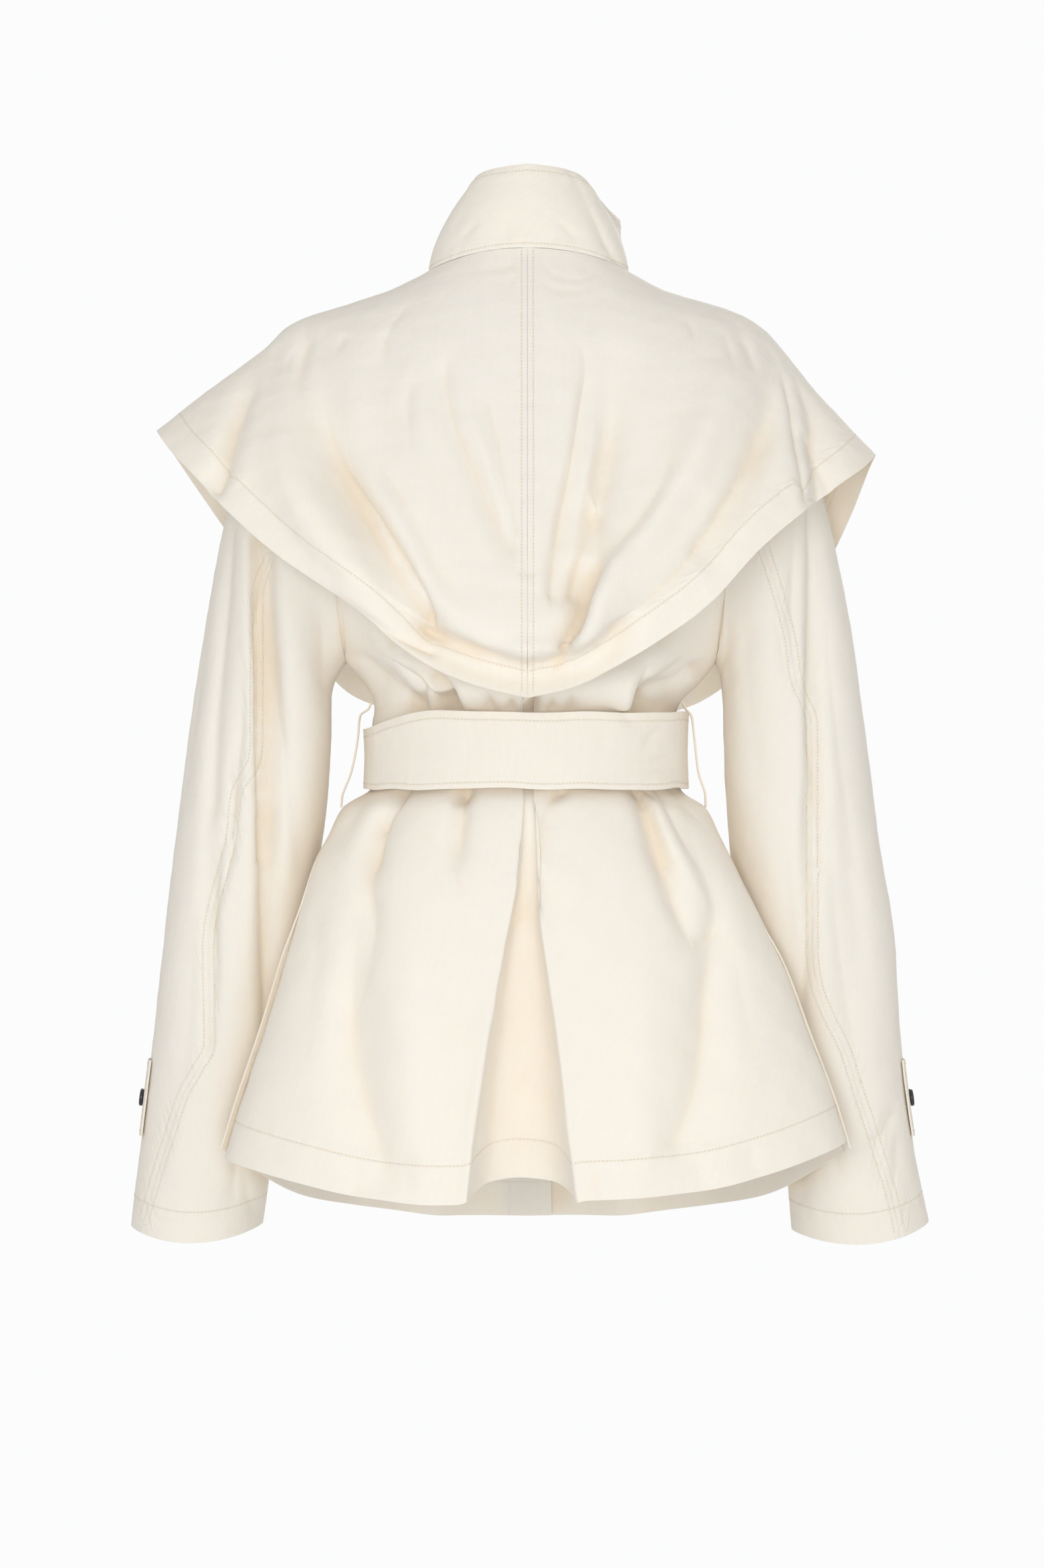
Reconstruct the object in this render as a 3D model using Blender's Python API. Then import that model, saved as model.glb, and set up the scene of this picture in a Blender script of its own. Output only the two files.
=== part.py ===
"""A cotton jacket with a cape over its shoulders, in the shape it takes when worn.

Metres, +Z up. The wearer's back faces -Y. "left" is -X, the wearer's left.
The origin is the middle of the neck's base. Run with blender --background --python part.py.
"""

from collections import namedtuple

import bmesh
import bpy
import numpy as np

# Driving sizes
CLOTH = 0.0014
SEAM_GAP = 0.0003
LAP = CLOTH + SEAM_GAP
BACK_LENGTH = 0.741
BELT_TOP = -0.363
BELT_BOTTOM = -0.424
BELT_WALL = 0.0020
BELT_OVERLAP = 24
UNDERARM_Z = -0.3215
SHOULDER_X = 0.175
SHOULDER_Z = -0.0665
ARMHOLE_HALF_DEPTH = 0.072
UNDERARM_X = {-1: 0.147, 1: 0.152}
HEM_BAND = 0.095
OVERLAP = 0.020
TAB_TOP = -0.645
TAB_BOTTOM = -0.707
BUTTON_RADIUS = 0.0072
BUTTON_HEIGHT = 0.0030

CREAM = (0.88, 0.85, 0.77)
HORN = (0.012, 0.014, 0.022)
SIDES = {"left": -1, "right": 1}

# The shoulder line of the cape, from the neck to the wing tip
Ridge = namedtuple("Ridge", "along left_x left_z right_x right_z")
RIDGE = (
    Ridge(0.00, 0.079, -0.006, 0.081, -0.006),
    Ridge(0.15, 0.111, -0.021, 0.113, -0.022),
    Ridge(0.28, 0.142, -0.031, 0.145, -0.031),
    Ridge(0.42, 0.175, -0.041, 0.172, -0.040),
    Ridge(0.52, 0.195, -0.051, 0.190, -0.051),
    Ridge(0.62, 0.212, -0.067, 0.206, -0.068),
    Ridge(0.80, 0.255, -0.099, 0.236, -0.105),
    Ridge(1.00, 0.300, -0.134, 0.282, -0.154),
)

# The cape's middle, behind and in front: how far out it stands and how low it is
Middle = namedtuple("Middle", "along back_y back_z front_y front_z open")
MIDDLE = (
    Middle(0.000, 0.062, 0.006, 0.062, -0.030, 0.004),
    Middle(0.156, 0.088, -0.050, 0.088, -0.078, 0.006),
    Middle(0.373, 0.113, -0.128, 0.116, -0.150, 0.010),
    Middle(0.587, 0.136, -0.205, 0.140, -0.225, 0.018),
    Middle(0.768, 0.158, -0.270, 0.153, -0.290, 0.028),
    Middle(0.860, 0.171, -0.303, 0.157, -0.322, 0.034),
    Middle(0.905, 0.173, -0.319, 0.158, -0.338, 0.037),
    Middle(1.000, 0.169, -0.3535, 0.160, -0.372, 0.042),
)

# The hem of the cape: how much of its fall it has reached at each share of its width
Hem = namedtuple("Hem", "out back_left back_right front_left front_right")
CAPE_HEM = (
    Hem(0.00, 1.000, 1.000, 1.000, 1.000),
    Hem(0.12, 0.960, 0.960, 0.990, 0.990),
    Hem(0.25, 0.890, 0.872, 0.975, 0.980),
    Hem(0.36, 0.780, 0.778, 0.945, 0.960),
    Hem(0.49, 0.640, 0.640, 0.890, 0.918),
    Hem(0.65, 0.490, 0.405, 0.660, 0.780),
    Hem(0.79, 0.320, 0.238, 0.400, 0.560),
    Hem(0.89, 0.175, 0.130, 0.215, 0.365),
    Hem(0.95, 0.090, 0.070, 0.100, 0.190),
    Hem(1.00, 0.000, 0.000, 0.000, 0.000),
)

# The hem band tucks in under the pouch and flares out again at its edge
Tuck = namedtuple("Tuck", "down inward")
TUCK = (
    Tuck(0.00, 0.000),
    Tuck(0.26, 0.018),
    Tuck(0.60, 0.021),
    Tuck(1.00, 0.009),
)
TUCK_WIDTH = {-1: 0.125, 1: 0.095}
TUCK_FLAT = 0.05
# A place across the cape is spread by these shares of a straight line and of a half wave
CAPE_LINE = 0.6
CAPE_WAVE = 0.7
CAPE_HEM_GROWTH = 1.5
# The folds begin this far off the shoulder line and this far below the neck
CAPE_FOLDS_FROM_RIDGE = 0.45
CAPE_FOLDS_FROM_NECK = 0.12

# Folds: a path of (x, z), the depth at its start, middle and end (below zero stands out),
# the half width at its start and end, and a lean that widens its left side
Fold = namedtuple("Fold", "path depth width lean")
SOFTEST_FOLD = 0.015
PATH_STEPS = 5
CAPE_BACK_FOLDS = (
    Fold(
        (
            (-0.170, -0.078), (-0.155, -0.146), (-0.138, -0.181), (-0.112, -0.231),
            (-0.087, -0.273), (-0.071, -0.294),
        ),
        (0.008, 0.022, 0.028), (0.026, 0.011), 0.25,
    ),
    Fold(
        ((-0.189, -0.075), (-0.187, -0.135), (-0.165, -0.200), (-0.128, -0.262)),
        (0, -0.010, -0.006), (0.022, 0.020), 0,
    ),
    Fold(
        ((-0.211, -0.077), (-0.227, -0.111), (-0.237, -0.161), (-0.248, -0.182)),
        (0.004, 0.008, 0.006), (0.010, 0.010), 0,
    ),
    Fold(
        ((-0.116, -0.062), (-0.114, -0.105), (-0.105, -0.186)),
        (0.001, 0.007, 0.002), (0.016, 0.014), 0,
    ),
    Fold(
        ((-0.047, -0.131), (-0.030, -0.190), (-0.014, -0.232), (-0.008, -0.246)),
        (0, 0.005, 0.002), (0.012, 0.010), 0,
    ),
    Fold(
        ((-0.074, -0.299), (-0.056, -0.305), (-0.042, -0.310), (-0.030, -0.313), (-0.016, -0.316)),
        (0.020, 0.016, 0.004), (0.010, 0.006), 0,
    ),
    Fold(
        ((0.039, -0.165), (0.027, -0.232), (0.018, -0.273)),
        (0, 0.006, 0.002), (0.014, 0.012), 0,
    ),
    Fold(
        ((0.073, -0.062), (0.066, -0.105), (0.060, -0.169), (0.052, -0.215)),
        (0.002, 0.012, 0.007), (0.020, 0.016), 0,
    ),
    Fold(
        ((0.052, -0.215), (0.059, -0.245), (0.048, -0.268), (0.044, -0.290), (0.034, -0.312)),
        (0.005, 0.018, 0.014), (0.013, 0.011), 0.45,
    ),
    Fold(
        (
            (0.156, -0.061), (0.167, -0.085), (0.158, -0.108), (0.135, -0.155), (0.097, -0.215),
            (0.062, -0.273), (0.046, -0.312),
        ),
        (0, -0.014, -0.008), (0.022, 0.015), 0,
    ),
    Fold(
        ((0.194, -0.095), (0.192, -0.120), (0.174, -0.180), (0.140, -0.240)),
        (0.004, 0.012, 0.006), (0.011, 0.013), 0,
    ),
    Fold(
        ((0.209, -0.082), (0.216, -0.105), (0.221, -0.130), (0.222, -0.152), (0.226, -0.200)),
        (0.003, 0.018, 0.024), (0.013, 0.017), -0.6,
    ),
    Fold(
        ((0.169, -0.055), (0.177, -0.091)),
        (0.003, 0.004, 0.001), (0.006, 0.006), 0,
    ),
    Fold(
        ((0.190, -0.064), (0.199, -0.090)),
        (0.003, 0.004, 0.001), (0.006, 0.006), 0,
    ),
    Fold(
        ((-0.177, -0.050), (-0.180, -0.103)),
        (0.003, 0.004, 0.001), (0.007, 0.006), 0,
    ),
    Fold(
        ((-0.198, -0.062), (-0.206, -0.116)),
        (0.003, 0.004, 0.001), (0.007, 0.006), 0,
    ),
)
CAPE_FRONT_FOLDS = (
    Fold(
        ((-0.165, -0.085), (-0.150, -0.150), (-0.120, -0.235), (-0.105, -0.330)),
        (0.003, 0.014, 0.018), (0.022, 0.020), 0.2,
    ),
    Fold(
        ((-0.215, -0.085), (-0.226, -0.140), (-0.222, -0.200)),
        (0.002, 0.008, 0.008), (0.012, 0.014), 0,
    ),
    Fold(
        ((-0.085, -0.080), (-0.080, -0.180), (-0.062, -0.300)),
        (0.001, 0.006, 0.008), (0.016, 0.018), 0,
    ),
    Fold(
        ((0.160, -0.085), (0.152, -0.160), (0.135, -0.250), (0.118, -0.340)),
        (0.003, 0.012, 0.018), (0.020, 0.020), -0.2,
    ),
    Fold(
        ((0.208, -0.095), (0.215, -0.150), (0.208, -0.230)),
        (0.002, 0.009, 0.010), (0.012, 0.014), 0,
    ),
    Fold(
        ((0.090, -0.080), (0.078, -0.190), (0.070, -0.310)),
        (0.001, 0.007, 0.008), (0.016, 0.018), 0,
    ),
)

# The body below the underarm: half widths at the side seams, depths behind and in front
Ring = namedtuple("Ring", "z left right back front side_y")
BODY = (
    Ring(UNDERARM_Z, UNDERARM_X[-1], UNDERARM_X[1], 0.120, 0.120, 0.000),
    Ring(-0.340, 0.1300, 0.1370, 0.124, 0.117, 0.000),
    Ring(-0.352, 0.1240, 0.1240, 0.119, 0.107, 0.000),
    Ring(-0.3615, 0.1230, 0.1200, 0.1010, 0.0978, 0.000),
    Ring(-0.370, 0.1250, 0.1225, 0.099, 0.0959, 0.000),
    Ring(-0.4246, 0.1255, 0.1230, 0.099, 0.0959, -0.003),
    Ring(-0.4310, 0.1340, 0.1290, 0.107, 0.105, -0.006),
    Ring(-0.440, 0.1480, 0.1420, 0.113, 0.110, -0.010),
    Ring(-0.466, 0.1600, 0.1540, 0.122, 0.118, -0.020),
    Ring(-0.490, 0.1710, 0.1640, 0.129, 0.124, -0.030),
    Ring(-0.530, 0.1820, 0.1810, 0.138, 0.132, -0.038),
    Ring(-0.588, 0.1970, 0.2050, 0.150, 0.142, -0.046),
    Ring(-0.640, 0.2110, 0.2220, 0.160, 0.150, -0.054),
    Ring(-0.700, 0.2290, 0.2420, 0.171, 0.159, -0.062),
    Ring(-BACK_LENGTH, 0.2400, 0.2530, 0.178, 0.165, -0.066),
)

# The skirt's front in plan, drawn in where the sleeves hang: how far forward it is at each
# share of its half width
Plan = namedtuple("Plan", "out forward")
FRONT_PLAN = (
    Plan(0.00, 1.000),
    Plan(0.20, 0.985),
    Plan(0.40, 0.930),
    Plan(0.60, 0.770),
    Plan(0.75, 0.500),
    Plan(0.87, 0.240),
    Plan(1.00, 0.000),
)

# The skirt's hem height at each share of its half width
Edge = namedtuple("Edge", "out back_left back_right front")
SKIRT_HEM = (
    Edge(0.00, -0.741, -0.741, -0.788),
    Edge(0.30, -0.743, -0.738, -0.786),
    Edge(0.55, -0.738, -0.733, -0.776),
    Edge(0.75, -0.729, -0.722, -0.760),
    Edge(1.00, -0.716, -0.703, -0.712),
)

# The inverted pleat behind: its two edges, and how deep it opens
Pleat = namedtuple("Pleat", "z left right depth")
PLEAT = (
    Pleat(-0.100, -0.0040, 0.0050, 0.0000),
    Pleat(-0.345, -0.0030, 0.0060, 0.0020),
    Pleat(-0.362, -0.0040, 0.0055, 0.0040),
    Pleat(-0.424, -0.0040, 0.0055, 0.0040),
    Pleat(-0.453, -0.0050, 0.0060, 0.0060),
    Pleat(-0.491, -0.0080, 0.0075, 0.0110),
    Pleat(-0.534, -0.0160, 0.0115, 0.0200),
    Pleat(-0.584, -0.0260, 0.0190, 0.0310),
    Pleat(-0.634, -0.0350, 0.0260, 0.0420),
    Pleat(-0.697, -0.0440, 0.0330, 0.0530),
    Pleat(-BACK_LENGTH, -0.0480, 0.0390, 0.0580),
)
PLEAT_RISE = 0.014

# The pleat across: its five middle columns, how far over each lies and how far it has sunk
Section = namedtuple("Section", "place across sunk")
PLEAT_SECTION = (
    Section(-2, 0.00, 0.00),
    Section(-1, 0.12, 0.92),
    Section(0, 0.45, 1.00),
    Section(1, 0.88, 0.92),
    Section(2, 1.00, 0.00),
)
PLEAT_COLUMNS = 2

BODY_BACK_FOLDS = (
    Fold(
        ((-0.142, -0.290), (-0.123, -0.312), (-0.105, -0.333), (-0.090, -0.350)),
        (-0.002, -0.005, -0.001), (0.010, 0.010), 0,
    ),
    Fold(
        ((-0.077, -0.328), (-0.060, -0.362)),
        (0.002, 0.007, 0.004), (0.008, 0.008), 0,
    ),
    Fold(
        ((0.107, -0.308), (0.095, -0.336), (0.083, -0.356)),
        (-0.002, -0.008, -0.002), (0.012, 0.010), 0,
    ),
    Fold(
        ((-0.093, -0.426), (-0.114, -0.454), (-0.123, -0.488), (-0.120, -0.540)),
        (0.006, 0.011, 0.001), (0.010, 0.016), 0,
    ),
    Fold(
        ((-0.138, -0.507), (-0.136, -0.586), (-0.130, -0.649), (-0.111, -0.715)),
        (0, 0.012, 0.006), (0.018, 0.022), 0,
    ),
    Fold(
        ((-0.098, -0.500), (-0.092, -0.600), (-0.085, -0.730)),
        (0, -0.006, -0.006), (0.018, 0.024), 0,
    ),
    Fold(
        ((-0.047, -0.428), (-0.053, -0.453), (-0.056, -0.490)),
        (0.005, 0.005, 0), (0.009, 0.012), 0,
    ),
    Fold(
        ((0.089, -0.428), (0.099, -0.459), (0.115, -0.501), (0.126, -0.540)),
        (0.006, 0.010, 0.003), (0.010, 0.012), 0,
    ),
    Fold(
        ((0.137, -0.485), (0.148, -0.520), (0.141, -0.586), (0.136, -0.636), (0.118, -0.700)),
        (0.002, 0.012, 0.004), (0.016, 0.020), 0,
    ),
    Fold(
        ((0.095, -0.520), (0.088, -0.610), (0.084, -0.730)),
        (0, -0.006, -0.007), (0.018, 0.026), 0,
    ),
)
BODY_FRONT_FOLDS = (
    Fold(
        ((-0.080, -0.428), (-0.092, -0.470), (-0.100, -0.540)),
        (0.005, 0.009, 0.001), (0.010, 0.016), 0,
    ),
    Fold(
        ((-0.118, -0.510), (-0.122, -0.620), (-0.118, -0.740)),
        (0, 0.010, 0.008), (0.018, 0.022), 0,
    ),
    Fold(
        ((-0.070, -0.540), (-0.072, -0.660), (-0.074, -0.780)),
        (0, 0.007, 0.009), (0.016, 0.020), 0,
    ),
    Fold(
        ((0.078, -0.428), (0.090, -0.475), (0.104, -0.545)),
        (0.005, 0.009, 0.001), (0.010, 0.016), 0,
    ),
    Fold(
        ((0.126, -0.500), (0.128, -0.610), (0.122, -0.740)),
        (0, 0.010, 0.008), (0.018, 0.022), 0,
    ),
    Fold(
        ((0.068, -0.560), (0.074, -0.670), (0.078, -0.780)),
        (0, 0.007, 0.009), (0.016, 0.020), 0,
    ),
)

# The sleeve: each ring runs from its outer edge to its inner one
Cuff = namedtuple("Cuff", "along outer_x outer_z inner_x inner_z y depth")
SLEEVE = {
    -1: (
        Cuff(0.00, SHOULDER_X, SHOULDER_Z, UNDERARM_X[-1], UNDERARM_Z, 0.000, ARMHOLE_HALF_DEPTH),
        Cuff(0.07, 0.205, -0.091, 0.153, -0.3310, 0.000, 0.071),
        Cuff(0.15, 0.227, -0.137, 0.157, -0.3400, 0.000, 0.069),
        Cuff(0.23, 0.239, -0.187, 0.159, -0.3520, 0.000, 0.067),
        Cuff(0.31, 0.249, -0.232, 0.159, -0.3680, 0.002, 0.066),
        Cuff(0.40, 0.261, -0.298, 0.160, -0.3940, 0.006, 0.064),
        Cuff(0.50, 0.274, -0.380, 0.163, -0.4350, 0.012, 0.062),
        Cuff(0.60, 0.285, -0.462, 0.171, -0.4920, 0.019, 0.060),
        Cuff(0.71, 0.296, -0.548, 0.181, -0.5640, 0.027, 0.058),
        Cuff(0.83, 0.307, -0.645, 0.194, -0.6500, 0.034, 0.056),
        Cuff(0.92, 0.316, -0.718, 0.208, -0.7180, 0.038, 0.055),
        Cuff(1.00, 0.324, -0.781, 0.217, -0.7800, 0.040, 0.056),
    ),
    1: (
        Cuff(0.00, SHOULDER_X, SHOULDER_Z, UNDERARM_X[1], UNDERARM_Z, 0.000, ARMHOLE_HALF_DEPTH),
        Cuff(0.07, 0.203, -0.093, 0.156, -0.3310, 0.000, 0.071),
        Cuff(0.15, 0.223, -0.140, 0.157, -0.3400, 0.000, 0.069),
        Cuff(0.23, 0.238, -0.187, 0.158, -0.3520, 0.000, 0.067),
        Cuff(0.31, 0.249, -0.232, 0.159, -0.3680, 0.002, 0.066),
        Cuff(0.40, 0.262, -0.297, 0.160, -0.3940, 0.006, 0.064),
        Cuff(0.50, 0.274, -0.380, 0.162, -0.4350, 0.012, 0.062),
        Cuff(0.60, 0.285, -0.462, 0.167, -0.4920, 0.019, 0.060),
        Cuff(0.71, 0.299, -0.548, 0.177, -0.5640, 0.027, 0.058),
        Cuff(0.83, 0.306, -0.645, 0.192, -0.6500, 0.034, 0.056),
        Cuff(0.92, 0.316, -0.718, 0.210, -0.7180, 0.038, 0.055),
        Cuff(1.00, 0.328, -0.778, 0.217, -0.7850, 0.040, 0.056),
    ),
}
CUFF_SAG = 0.010

SLEEVE_BACK_FOLDS = (
    Fold(
        (
            (-0.217, -0.220), (-0.215, -0.275), (-0.211, -0.323), (-0.211, -0.393),
            (-0.211, -0.459), (-0.213, -0.561), (-0.211, -0.650),
        ),
        (0.004, 0.013, 0.002), (0.011, 0.010), -0.4,
    ),
    Fold(
        ((-0.237, -0.205), (-0.241, -0.303), (-0.254, -0.453), (-0.257, -0.541), (-0.255, -0.628)),
        (0.003, 0.005, 0.002), (0.008, 0.008), 0,
    ),
    Fold(
        ((0.226, -0.214), (0.229, -0.284), (0.230, -0.364), (0.227, -0.444), (0.226, -0.510)),
        (0.003, 0.009, 0.002), (0.010, 0.010), -0.3,
    ),
    Fold(
        ((0.250, -0.420), (0.262, -0.520), (0.272, -0.620)),
        (0, 0.005, 0), (0.010, 0.010), 0,
    ),
)
SLEEVE_FRONT_FOLDS = (
    Fold(
        ((-0.222, -0.300), (-0.230, -0.400), (-0.240, -0.540)),
        (0.002, 0.010, 0), (0.012, 0.012), 0,
    ),
    Fold(
        ((0.220, -0.290), (0.232, -0.410), (0.238, -0.560)),
        (0.002, 0.010, 0), (0.012, 0.012), 0,
    ),
)

# The collar: how far its top leans in, and the height of its top edge, by the turn from behind
Collar = namedtuple("Collar", "turn left_lean right_lean left_top right_top")
COLLAR = (
    Collar(-90, 0.78, 0.78, 0.0755, 0.0755),
    Collar(-45, 0.62, 0.62, 0.0720, 0.0720),
    Collar(0, 0.56, 0.60, 0.0640, 0.0600),
    Collar(30, 0.60, 0.84, 0.0560, 0.0440),
    Collar(55, 0.68, 1.02, 0.0470, 0.0340),
    Collar(86, 0.80, 1.10, 0.0400, 0.0300),
)

# The collar's base stands this far over the neckline, and it leans in more towards its top
COLLAR_LIFT = 0.65 * LAP
COLLAR_LEAN_GROWTH = 1.7

# The narrow carriers at the belt's ends: (x, z) from above the belt to below it
CARRIER = {
    -1: (
        (0.1264, -0.3540), (0.1285, -0.3590), (0.1355, -0.3650), (0.1375, -0.3840),
        (0.1425, -0.4100), (0.1500, -0.4300), (0.1508, -0.4390),
    ),
    1: (
        (0.1258, -0.3540), (0.1280, -0.3590), (0.1330, -0.3650), (0.1355, -0.3840),
        (0.1385, -0.4100), (0.1443, -0.4290), (0.1446, -0.4390),
    ),
}
CARRIER_WIDTH = 0.008
CARRIER_WALL = 0.0020

# The neck of the body lies just inside the neck of the cape
NECK_INSET = 0.0020
NECK_DEPTH = {-1: 0.0600, 1: 0.0568}
NECK_MIDDLE_Z = {-1: 0.001, 1: -0.039}
ARMHOLE_GAP = 0.0018
FRONT_LAP = 0.0030
SIDE_SEAM_GAP = 0.0010

Seam = namedtuple("Seam", "x z")
SHOULDER_SEAM = (
    Seam(0.070, -0.0080),
    Seam(0.081, -0.0090),
    Seam(0.111, -0.0270),
    Seam(0.142, -0.0400),
    Seam(SHOULDER_X, SHOULDER_Z),
)

# How far the body stands out along its middle, above the underarm
Torso = namedtuple("Torso", "z back front")
TORSO = (
    Torso(0.001, 0.060, 0.0545),
    Torso(-0.039, 0.075, 0.0568),
    Torso(-0.078, 0.087, 0.0770),
    Torso(-0.120, 0.097, 0.101),
    Torso(-0.200, 0.109, 0.115),
    Torso(UNDERARM_Z, 0.120, 0.120),
)

# The body's upper part turns from an ellipse to a flatter arc, and its top row closes late
ARC_ROUNDING = 0.5
ARC_FLATTENS_BY = 0.25
SEAM_CLOSES = 6
# The fronts are drawn in between these depths, and the folds of the body fade out towards the sides
FRONT_DRAWN = (0.42, 0.58)
BODY_FOLDS_FADE = (0.80, 1.0)
# The right front laps over the left one and comes back to it between these distances
FRONT_LAP_FADE = (1.2 * OVERLAP, 3 * OVERLAP)

# The belt's half width and depth, its lap in front, and the turns in degrees where its end rises over it
BELT_HALF = {-1: 0.131, 1: 0.129}
BELT_DEPTH = 0.1045
LAP_BELT = 0.0025
BELT_RISES = (312, 360 - BELT_OVERLAP / 2 - 6)
# The cuff straps run between these turns in degrees from the sleeve's outer side
TAB_END = 20
TAB_START = -120
SLEEVE_STEP = 20
CARRIER_Y = -0.004
CUFF_DROOP = 8
# Where a sleeve's folds rise: how far behind or before its middle, and how far down from the armhole
SLEEVE_FOLDS_TURN = (0.1, 0.7)
SLEEVE_FOLDS_BEGIN = 0.2
SLEEVE_FOLDS_END = 0.85
SLEEVE_UPPER_ROWS = np.linspace(0, 0.31, 6)
SLEEVE_LOWER_ROWS = np.linspace(0.39, 0.76, 6)
SLEEVE_CUFF_ROWS = (0.955, 1.0)

# The button from its back to its dished front: shares of its radius and of its height
Profile = namedtuple("Profile", "wide high")
BUTTON_PROFILE = (
    Profile(0.94, 0.00),
    Profile(1.00, 0.45),
    Profile(0.86, 1.00),
    Profile(0.70, 0.72),
)
BUTTON_SIDES = 14

# How many rows and columns each piece has, and where the uneven ones lie
CAPE_BACK_COLUMNS = 23
CAPE_FRONT_COLUMNS = 9
CAPE_ROWS = 16
CAPE_ROWS_CLOSE_UP = 1.15
CAPE_BAND_ROWS = (0.74, 0.40, 0.0)
COLLAR_COLUMNS = 31
COLLAR_ROWS = 5
SKIRT_ROWS = (
    -BACK_LENGTH, -0.705, -0.665, -0.622, -0.580, -0.540,
    -0.502, -0.470, -0.448, -0.438, -0.431, -0.4246,
)
WAIST_ROWS = (-0.395, -0.368, -0.359, -0.350, -0.341, -0.332)
BODY_UPPER_ROWS = 8
SIDE_WAVE = 0.6
BACK_COLUMNS = 14
BACK_FIRST_COLUMN = 0.055
PLEAT_COLUMN = 0.02
FRONT_COLUMNS = 10
FRONT_FIRST_COLUMN = 0.15
BELT_COLUMNS = 49


def column(rows, name):
    return np.array([getattr(row, name) for row in rows], float)


def smooth(at, knots, values):
    """Values read at some places along a smooth curve through the knots, with no overshoot."""
    knots = np.asarray(knots, float)
    values = np.asarray(values, float)
    rise = np.diff(values) / np.diff(knots)
    same_way = rise[:-1] * rise[1:] > 0
    total = np.where(same_way, rise[:-1] + rise[1:], 1.0)
    inner = np.where(same_way, 2 * rise[:-1] * rise[1:] / total, 0.0)
    slope = np.concatenate([rise[:1], inner, rise[-1:]])
    at = np.clip(at, knots[0], knots[-1])
    cell = np.clip(np.searchsorted(knots, at, side="right") - 1, 0, len(rise) - 1)
    size = np.diff(knots)[cell]
    share = (at - knots[cell]) / size
    ease = share**2 * (3 - 2 * share)
    level = values[cell] * (1 - ease) + values[cell + 1] * ease
    swing = slope[cell] * share * (1 - share) ** 2 - slope[cell + 1] * share**2 * (1 - share)
    return level + size * swing


def read(rows, knot, name, at):
    """One column of a table read by another, whichever way that one runs."""
    knots = column(rows, knot)
    way = 1 if knots[-1] > knots[0] else -1
    return smooth(way * np.asarray(at, float), way * knots, column(rows, name))


def step(at, start, end):
    """0 before the start, 1 past the end, eased between."""
    share = np.clip((at - start) / (end - start), 0, 1)
    return share**2 * (3 - 2 * share)


def fine_path(path):
    """The path's points with a smooth curve's points between them."""
    path = np.array(path, float)
    knots = np.arange(len(path))
    at = np.linspace(0, len(path) - 1, PATH_STEPS * (len(path) - 1) + 1)
    return np.stack([smooth(at, knots, path[:, 0]), smooth(at, knots, path[:, 1])], -1)


def nearest_on(path, x, z):
    """The share along the path of its nearest point, and how far right of it each point lies."""
    legs = np.diff(path, axis=0)
    away = np.stack([x, z], -1)[..., None, :] - path[:-1]
    part = np.clip((away * legs).sum(-1) / (legs**2).sum(-1), 0, 1)
    miss = away - part[..., None] * legs
    gap = np.hypot(miss[..., 0], miss[..., 1])
    pick = gap.argmin(-1)[..., None]
    share = (pick + np.take_along_axis(part, pick, -1))[..., 0] / len(legs)
    right = legs[:, 0] * away[..., 1] - legs[:, 1] * away[..., 0]
    side = np.sign(np.take_along_axis(right, pick, -1))[..., 0]
    return share, side * np.take_along_axis(gap, pick, -1)[..., 0]


def relief(x, z, folds):
    """How deep the folds press the cloth in at each (x, z)."""
    total = np.zeros(np.shape(x))
    for fold in folds:
        share, right = nearest_on(fine_path(fold.path), x, z)
        width = fold.width[0] + (fold.width[1] - fold.width[0]) * share
        width = np.maximum(width * np.where(right < 0, 1 + fold.lean, 1 - fold.lean), SOFTEST_FOLD)
        depth = np.clip(smooth(share, (0, 0.5, 1), fold.depth), -width, width)
        total += depth * np.exp(-((right / width) ** 2))
    return total


def by_side(side, rows, knot, left, right, at):
    return read(rows, knot, left if side < 0 else right, at)


def cape(side, across, down):
    """Half of the cape: across runs from the middle behind (0) to the front (1), down to the hem."""
    across, down = np.meshgrid(across, down)
    half = by_side(side, RIDGE, "along", "left_x", "right_x", down)
    ridge_z = by_side(side, RIDGE, "along", "left_z", "right_z", down)
    front = across > 0.5
    turn = np.where(front, 1 - across, across)
    out = CAPE_LINE * turn + CAPE_WAVE * np.sin(np.pi * turn)
    inner = np.where(front, read(MIDDLE, "along", "open", down), 2 * SEAM_GAP) / half
    out = inner + (1 - inner) * out
    round_off = np.sqrt(np.clip(1 - out**2, 0, 1))
    fall_back = by_side(side, CAPE_HEM, "out", "back_left", "back_right", out)
    fall_front = by_side(side, CAPE_HEM, "out", "front_left", "front_right", out)
    hem_share = down**CAPE_HEM_GROWTH
    fall = (1 - hem_share) * round_off**2 + hem_share * np.where(front, fall_front, fall_back)
    middle_y = np.where(front, read(MIDDLE, "along", "front_y", down), read(MIDDLE, "along", "back_y", down))
    middle_z = np.where(front, read(MIDDLE, "along", "front_z", down), read(MIDDLE, "along", "back_z", down))
    x = side * half * out
    z = ridge_z + (middle_z - ridge_z) * fall
    y = np.where(front, 1, -1) * middle_y * round_off
    band = np.clip((down - 1 + HEM_BAND) / HEM_BAND, 0, 1)
    tuck = read(TUCK, "down", "inward", band) * (1 - step(abs(x), TUCK_FLAT, TUCK_WIDTH[side]))
    ease = step(round_off, 0.0, CAPE_FOLDS_FROM_RIDGE) * step(down, 0.0, CAPE_FOLDS_FROM_NECK)
    push = np.where(front, -relief(x, z, CAPE_FRONT_FOLDS), relief(x, z, CAPE_BACK_FOLDS) + tuck)
    return np.stack([x, y + push * ease, z], -1)


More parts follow.
